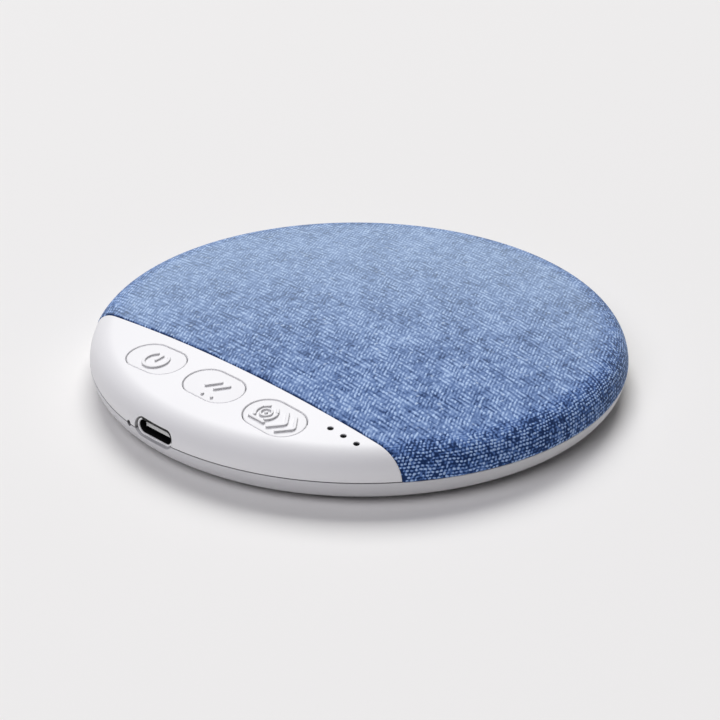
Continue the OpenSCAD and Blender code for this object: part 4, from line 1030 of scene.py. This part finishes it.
class SPEAKER_OT_cloth(bpy.types.Operator):
    """Stretches the cloth over the crown behind the chord"""

    bl_idname = "speaker.cloth"
    bl_label = "Cloth top"

    def execute(self, context):
        sizes = context.scene.speaker_sizes
        crown = crown_of(sizes)
        edges = [Chord(sizes.chord_y, 1.0, sizes.cloth_round, CHORD_POINTS),
                 Rim(sizes.cloth_seam, sizes.edge_round, sizes.turn)]
        shell = plate(crown, edges, wide_net(crown, sizes.net, sizes.turn), sizes.cloth_proud,
                      sizes.cloth_t + sizes.cloth_proud)
        finish = cloth_finish(context.scene.speaker_colours, context.scene.speaker_weave, sizes.chord_y,
                              crown.join_s - sizes.cloth_turn,
                              crown.rim_s - sizes.shoulder_r * sizes.cloth_side)
        piece = make_piece("cloth_top", [shell], "housing", "fabric_cover", finish)
        return {"FINISHED"}


class SPEAKER_OT_panel(bpy.types.Operator):
    """Makes the control panel with its button, indicator, socket and microphone holes"""

    bl_idname = "speaker.panel"
    bl_label = "Control panel"

    def execute(self, context):
        sizes = context.scene.speaker_sizes
        crown = crown_of(sizes)
        edges = [Chord(sizes.chord_y, -1.0, sizes.edge_round, CHORD_POINTS),
                 Rim(sizes.seam, sizes.edge_round, sizes.turn, sizes.seam_painted_shade)]
        for node in BUTTONS:
            edges.append(Outline(button_path(node, sizes), sizes.button_w / 2, sizes.button_round))
        light_y = (LIGHTS_LOW.y + LIGHTS_HIGH.y) / 2
        half_light = sizes.light_l / 2
        for x in np.linspace(LIGHTS_LOW.x + half_light, LIGHTS_HIGH.x - half_light, 3):
            edges.append(Outline([(x, light_y)], sizes.light_hole_r, sizes.light_round))
        edges += port_edges(sizes, sizes.edge_round, sizes.socket_painted_shade)
        colours = context.scene.speaker_colours
        finish = satin("panel_white_satin", colours.panel, colours.panel_rough)
        shell = plate(crown, edges, wide_net(crown, sizes.net, sizes.turn), 0.0, sizes.top_wall)
        make_piece("panel_face", [shell], "housing", "control_panel", finish)
        return {"FINISHED"}


def symbol_edges(node, sizes):
    """Outlines of a button's raised symbol, in groups that are one plate each."""
    middle = button_middle(node)
    half = sizes.symbol_w / 2
    look = dict(rounding=SYMBOL_ROUND * half, cap=SYMBOL_CAP, painted_shade=sizes.symbol_painted_shade)

    def raised(path, half_w):
        """Outline of what lies within half a width of a path."""
        return [Outline(middle + MM * np.asarray(path), half_w, solid=True, **look)]

    if node == "power_button":
        return [raised(arc(POWER_MIDDLE, POWER_R, *POWER_ARC), half),
                raised(straight(POWER_MIDDLE, POWER_TOP), half)]
    if node == "pause_button":
        bars = [raised(straight(*bar), half) for bar in PAUSE_BARS]
        return bars + [raised([dot], PAUSE_DOT_R * MM) for dot in PAUSE_DOTS]
    ring = raised([RING_MIDDLE], RING_R * MM)
    ring.append(Outline(ring[0].path, (RING_R - RING_W) * MM, **look))
    strokes = [arc(RING_MIDDLE, RING_ARC_R, *ends) for ends in RING_ARCS]
    strokes += [straight(*line) for line in RING_LINES]
    strokes += [bent_line(*arrow, ARROW_TIP_R) for arrow in ARROWS]
    return [ring, raised([RING_MIDDLE], RING_DOT_R * MM)] + [raised(path, half) for path in strokes]


class SPEAKER_OT_buttons(bpy.types.Operator):
    """Makes the three button caps with their raised symbols"""

    bl_idname = "speaker.buttons"
    bl_label = "Buttons"

    def execute(self, context):
        sizes = context.scene.speaker_sizes
        crown = crown_of(sizes)
        colours = context.scene.speaker_colours
        finish = satin("button_white_satin", colours.panel, colours.button_rough)
        for node, body in BUTTONS.items():
            half_w = sizes.button_w / 2 - sizes.button_gap
            cap = Outline(button_path(node, sizes), half_w, sizes.button_round, solid=True)
            shells = [plate(crown, [cap], small_net(crown, cap, sizes.button_net), -sizes.button_sink,
                            sizes.button_t)]
            for edges in symbol_edges(node, sizes):
                shells.append(plate(crown, edges, small_net(crown, edges[0], sizes.symbol_net),
                                    sizes.symbol_h - sizes.button_sink, 2 * sizes.symbol_h))
            make_piece(node.replace("button", "cap"), shells, body, node, finish)
        return {"FINISHED"}


class SPEAKER_OT_lower_shell(bpy.types.Operator):
    """Makes the lower shell with its rim, socket opening, foot recesses and screw wells"""

    bl_idname = "speaker.lower_shell"
    bl_label = "Lower shell"

    def execute(self, context):
        sizes = context.scene.speaker_sizes
        base = base_of(sizes)
        edges = [Rim(sizes.seam, sizes.edge_round, sizes.turn, sizes.seam_painted_shade)]
        edges += port_edges(sizes, sizes.edge_round, sizes.socket_low_painted_shade)
        foot_x = FEET_HIGH.x - sizes.foot_r
        foot_y = FEET_HIGH.y - sizes.foot_r
        hole_r = sizes.foot_r + sizes.foot_gap
        for x, y in ((1, 1), (-1, 1), (-1, -1), (1, -1)):
            edges.append(Outline([(x * foot_x, y * foot_y)], hole_r, sizes.recess_round))
        front = np.array([SCREWS_HIGH.x - sizes.screw_head_r, SCREWS_LOW.y + sizes.screw_head_r])
        rear_y = SCREWS_HIGH.y - sizes.screw_head_r
        rear = np.array([math.sqrt(front @ front - rear_y**2), rear_y])
        wells = [front * (side, 1) for side in (-1, 1)] + [rear * (side, 1) for side in (-1, 1)]
        well_r = sizes.screw_head_r + sizes.screw_gap
        edges += [Outline([well], well_r, sizes.recess_round) for well in wells]
        face = plate(base, edges, wide_net(base, sizes.net, sizes.turn), 0.0, sizes.base_wall)
        # Painted shade stays only in front of the chord, where the panel lies over the shell
        face[3][:, 2] *= face[0][:, 1] < sizes.chord_y
        section = self.well_section(sizes, well_r)
        shells = [face, self.lip(sizes)] + [lathe(section, well, WELL_POINTS) for well in wells]
        colours = context.scene.speaker_colours
        finish = satin("shell_white_satin", colours.shell, colours.shell_rough)
        make_piece("shell_lower", shells, "housing", "bottom_shell", finish)
        return {"FINISHED"}

    def lip(self, sizes):
        """The ring inside the rim, left open where the socket and the microphone's hole are, painted darker
        as a painted shade seen through that hole.
        """
        outer = sizes.rim_r - sizes.lip_inset
        inner = outer - sizes.lip_t
        low = sizes.rim_z - sizes.lip_deep
        high = sizes.rim_z + sizes.lip_rise
        start = -math.acos((SOCKET_HIGH.x + sizes.socket_end_gap) / inner)
        end = -math.acos((sizes.mic_x - sizes.mic_hole_r) / inner)
        return lathe([(inner, low), (outer, low), (outer, high), (inner, high)], (0, 0), sizes.turn, start,
                     end - start + 2 * math.pi, sizes.mic_painted_shade)

    def well_section(self, sizes, well_r):
        """Half section of a screw well: a tube up to a ledge, and a boss from there to the parting line."""
        inner = well_r + sizes.well_fit
        outer = well_r + sizes.well_t
        low = sizes.base_z + 0.5 * sizes.base_wall
        ledge = sizes.base_z + sizes.well_deep
        top = ledge + sizes.ledge_t
        return [(inner, low), (outer, low), (outer, top), (sizes.boss_r, top), (sizes.boss_r, sizes.rim_z),
                (sizes.boss_hole_r, sizes.rim_z), (sizes.boss_hole_r, ledge), (inner, ledge)]


class SPEAKER_OT_fittings(bpy.types.Operator):
    """Gives every CAD node that stays its own grained finish"""

    bl_idname = "speaker.fittings"
    bl_label = "Fittings"

    def execute(self, context):
        finishes = plain_finishes()
        for entry in frame["record"]["subparts"]:
            mesh = frame["nodes"][entry["node"]].data
            mesh.materials.clear()
            mesh.materials.append(finishes[entry["material_slot"]])
        sizes = context.scene.speaker_sizes
        colours = context.scene.speaker_colours
        front = SOCKET_LOW.y
        special = {
            # Painted shade and light: the socket's shell is dark inside and keeps its metal colour only at
            # its front, lower side and left end; the tongue is dark behind its front face
            "usb_shell": fronted("socket_rim", front, sizes.rim_deep, colours.metal, colours.dark, 0.35,
                                 (SOCKET_LOW, SOCKET_HIGH)),
            "usb_insert": fronted("socket_tongue", front + sizes.tongue_back, sizes.tongue_deep,
                                  colours.tongue, colours.dark, 0.5),
            # Painted shade: the contacts' brass is darker than brass, for the shade inside the socket
            "usb_contacts": grained("contact_brass", colours.contact, 0.4, Metallic=1.0),
            "light_baffle": grained("baffle_black", colours.dark, 0.8, **{"Specular IOR Level": 0.1}),
        }
        for node, finish in special.items():
            frame["nodes"][node].data.materials[0] = finish
        return {"FINISHED"}


class SPEAKER_OT_surround(bpy.types.Operator):
    """Makes the soft ring round the driver's cone"""

    bl_idname = "speaker.surround"
    bl_label = "Driver surround"

    def execute(self, context):
        sizes = context.scene.speaker_sizes
        middle = ((ROLL_LOW.x + ROLL_HIGH.x) / 2, (ROLL_LOW.y + ROLL_HIGH.y) / 2)
        out_r = (ROLL_HIGH.x - ROLL_LOW.x) / 2
        roll_x = out_r - sizes.roll_out_w - sizes.roll_r
        in_r = roll_x - sizes.roll_r - sizes.roll_in_w
        flange_z = ROLL_HIGH.z - sizes.roll_r
        cone_z = ROLL_LOW.z
        under_r = sizes.roll_r - sizes.roll_t
        step = cone_z - flange_z
        top = (roll_x, flange_z)
        under_end = 180 - math.degrees(math.asin(step / under_r))
        over_start = math.degrees(math.asin(sizes.roll_t / sizes.roll_r))
        over_end = 180 - math.degrees(math.asin((step + sizes.roll_t) / sizes.roll_r))
        under = arc(top, under_r, under_end, 0)
        over = arc(top, sizes.roll_r, over_start, over_end)
        section = np.vstack([(in_r, cone_z), under, (out_r, flange_z), (out_r, flange_z + sizes.roll_t),
                             over, (in_r, cone_z + sizes.roll_t)])
        finish = frame["nodes"]["surround"].data.materials[0]
        shell = lathe(section, middle, ROLL_POINTS)
        piece = make_piece("surround_roll", [shell], "housing", "surround", finish)
        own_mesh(piece)
        return {"FINISHED"}


class SPEAKER_OT_stage(bpy.types.Operator):
    """Sets up the floor, the light and the camera"""

    bl_idname = "speaker.stage"
    bl_label = "Stage"

    def execute(self, context):
        stage = context.scene.speaker_stage
        context.scene.view_settings.view_transform = "Standard"
        self.floor(context, stage)
        self.light(context, stage)
        self.camera(context, stage)
        return {"FINISHED"}

    def floor(self, context, stage):
        """A wide pale floor that keeps the shadow."""
        half = stage.floor_half
        corners = [(-half, -half, 0), (half, -half, 0), (half, half, 0), (-half, half, 0)]
        mesh = bpy.data.meshes.new("floor")
        mesh.from_pydata(corners, [], [(0, 1, 2, 3)])
        colour = context.scene.speaker_colours.floor
        made, net = new_finish("floor_pale", colour)
        matt = net.node("ShaderNodeBsdfDiffuse", {"Color": rgba(colour)})
        net.node("ShaderNodeOutputMaterial", {"Surface": matt.outputs[0]})
        mesh.materials.append(made)
        floor = bpy.data.objects.new("floor", mesh)
        context.scene.collection.objects.link(floor)

    def light(self, context, stage):
        """A wide strip behind the speaker, a round fill light in front, and an even sky."""
        world = bpy.data.worlds.new("studio")
        context.scene.world = world
        world.use_nodes = True
        world.node_tree.nodes.clear()
        net = Net(world.node_tree)
        sky = net.node("ShaderNodeBackground", {"Color": rgba(stage.cool), "Strength": stage.sky})
        net.node("ShaderNodeOutputWorld", {"Surface": sky.outputs[0]})
        key_way = light_way(stage.azimuth, stage.key_turn, stage.key_height)
        key = self.lamp(context, "key", "RECTANGLE", stage.key, stage.key_distance * key_way)
        key.size = stage.key_width
        key.size_y = stage.key_depth
        fill_way = light_way(stage.azimuth, stage.fill_turn, stage.fill_height)
        fill = self.lamp(context, "fill", "DISK", stage.fill, stage.fill_distance * fill_way)
        fill.size = stage.fill_size
        fill.color = stage.cool

    def lamp(self, context, name, shape, power, place):
        """An area lamp at a place, aimed at the speaker."""
        data = bpy.data.lights.new(name, "AREA")
        data.shape = shape
        data.energy = power
        made = bpy.data.objects.new(name, data)
        made.matrix_world = looking(place, np.zeros(3))
        context.scene.collection.objects.link(made)
        return data

    def camera(self, context, stage):
        """The photograph's camera: aimed at the origin, then panned, tilted and rolled a little."""
        side, ahead, up = view_axes(stage.azimuth, stage.elevation)
        place = -stage.distance * ahead
        side, ahead = (side * math.cos(stage.pan) - ahead * math.sin(stage.pan),
                       side * math.sin(stage.pan) + ahead * math.cos(stage.pan))
        up, ahead = (up * math.cos(stage.tilt) - ahead * math.sin(stage.tilt),
                     up * math.sin(stage.tilt) + ahead * math.cos(stage.tilt))
        side, up = (side * math.cos(stage.roll) + up * math.sin(stage.roll),
                    up * math.cos(stage.roll) - side * math.sin(stage.roll))
        data = bpy.data.cameras.new("camera")
        data.sensor_width = stage.sensor
        data.lens = stage.lens
        data.clip_start = stage.near
        camera = bpy.data.objects.new("camera", data)
        camera.matrix_world = pose(side, up, -ahead, place)
        context.scene.collection.objects.link(camera)
        context.scene.camera = camera


def view_axes(azimuth, elevation):
    """Right, forward and up of a view that looks at the origin from an azimuth and an elevation."""
    side = np.array([math.cos(azimuth), math.sin(azimuth), 0.0])
    ahead = -np.array([math.sin(azimuth) * math.cos(elevation), -math.cos(azimuth) * math.cos(elevation),
                       math.sin(elevation)])
    return side, ahead, np.cross(side, ahead)


def light_way(azimuth, turn, height):
    """Direction to a lamp: turned from straight behind the speaker as the camera sees it, and raised."""
    side, ahead, up = view_axes(azimuth, 0.0)
    level = math.cos(turn) * ahead + math.sin(turn) * side
    return math.cos(height) * level + math.sin(height) * up


def pose(x, y, z, place):
    """Matrix from three axes and a place."""
    rows = np.column_stack([x, y, z, place])
    return Matrix(np.vstack([rows, [0, 0, 0, 1]]).tolist())


def looking(place, target):
    """Matrix of a lamp at a place that shines at a target."""
    back = np.asarray(place, float) - target
    back = back / np.linalg.norm(back)
    x = np.cross([0, 0, 1.0], back)
    x = x / np.linalg.norm(x)
    return pose(x, np.cross(back, x), back, place)


OPERATORS = (SPEAKER_OT_stage, SPEAKER_OT_fittings, SPEAKER_OT_surround, SPEAKER_OT_lower_shell,
             SPEAKER_OT_panel, SPEAKER_OT_buttons, SPEAKER_OT_cloth)
GROUPS = {SpeakerSizes: "speaker_sizes", SpeakerColours: "speaker_colours", SpeakerWeave: "speaker_weave",
          SpeakerStage: "speaker_stage"}


class SPEAKER_PT_sidebar(bpy.types.Panel):
    """Lists the speaker's operators, sizes, colours, weave and stage"""

    bl_idname = "SPEAKER_PT_sidebar"
    bl_label = "Pillow speaker"
    bl_space_type = "VIEW_3D"
    bl_region_type = "UI"
    bl_category = "Speaker"

    def draw(self, context):
        for operator in OPERATORS:
            self.layout.operator(operator.bl_idname)
        for group, holder in GROUPS.items():
            for name in group.__annotations__:
                self.layout.prop(getattr(context.scene, holder), name)


def register():
    """Registers the property groups, operators and panel."""
    for group, name in GROUPS.items():
        bpy.utils.register_class(group)
        setattr(bpy.types.Scene, name, PointerProperty(type=group))
    for entry in OPERATORS + (SPEAKER_PT_sidebar,):
        bpy.utils.register_class(entry)


def unregister():
    """Takes them away again."""
    for entry in reversed(OPERATORS + (SPEAKER_PT_sidebar,)):
        bpy.utils.unregister_class(entry)
    for group, name in GROUPS.items():
        delattr(bpy.types.Scene, name)
        bpy.utils.unregister_class(group)


def main():
    """Makes every piece and the stage."""
    register()
    for operator in OPERATORS:
        group, name = operator.bl_idname.split(".")
        getattr(getattr(bpy.ops, group), name)()


if __name__ == "__main__":
    main()
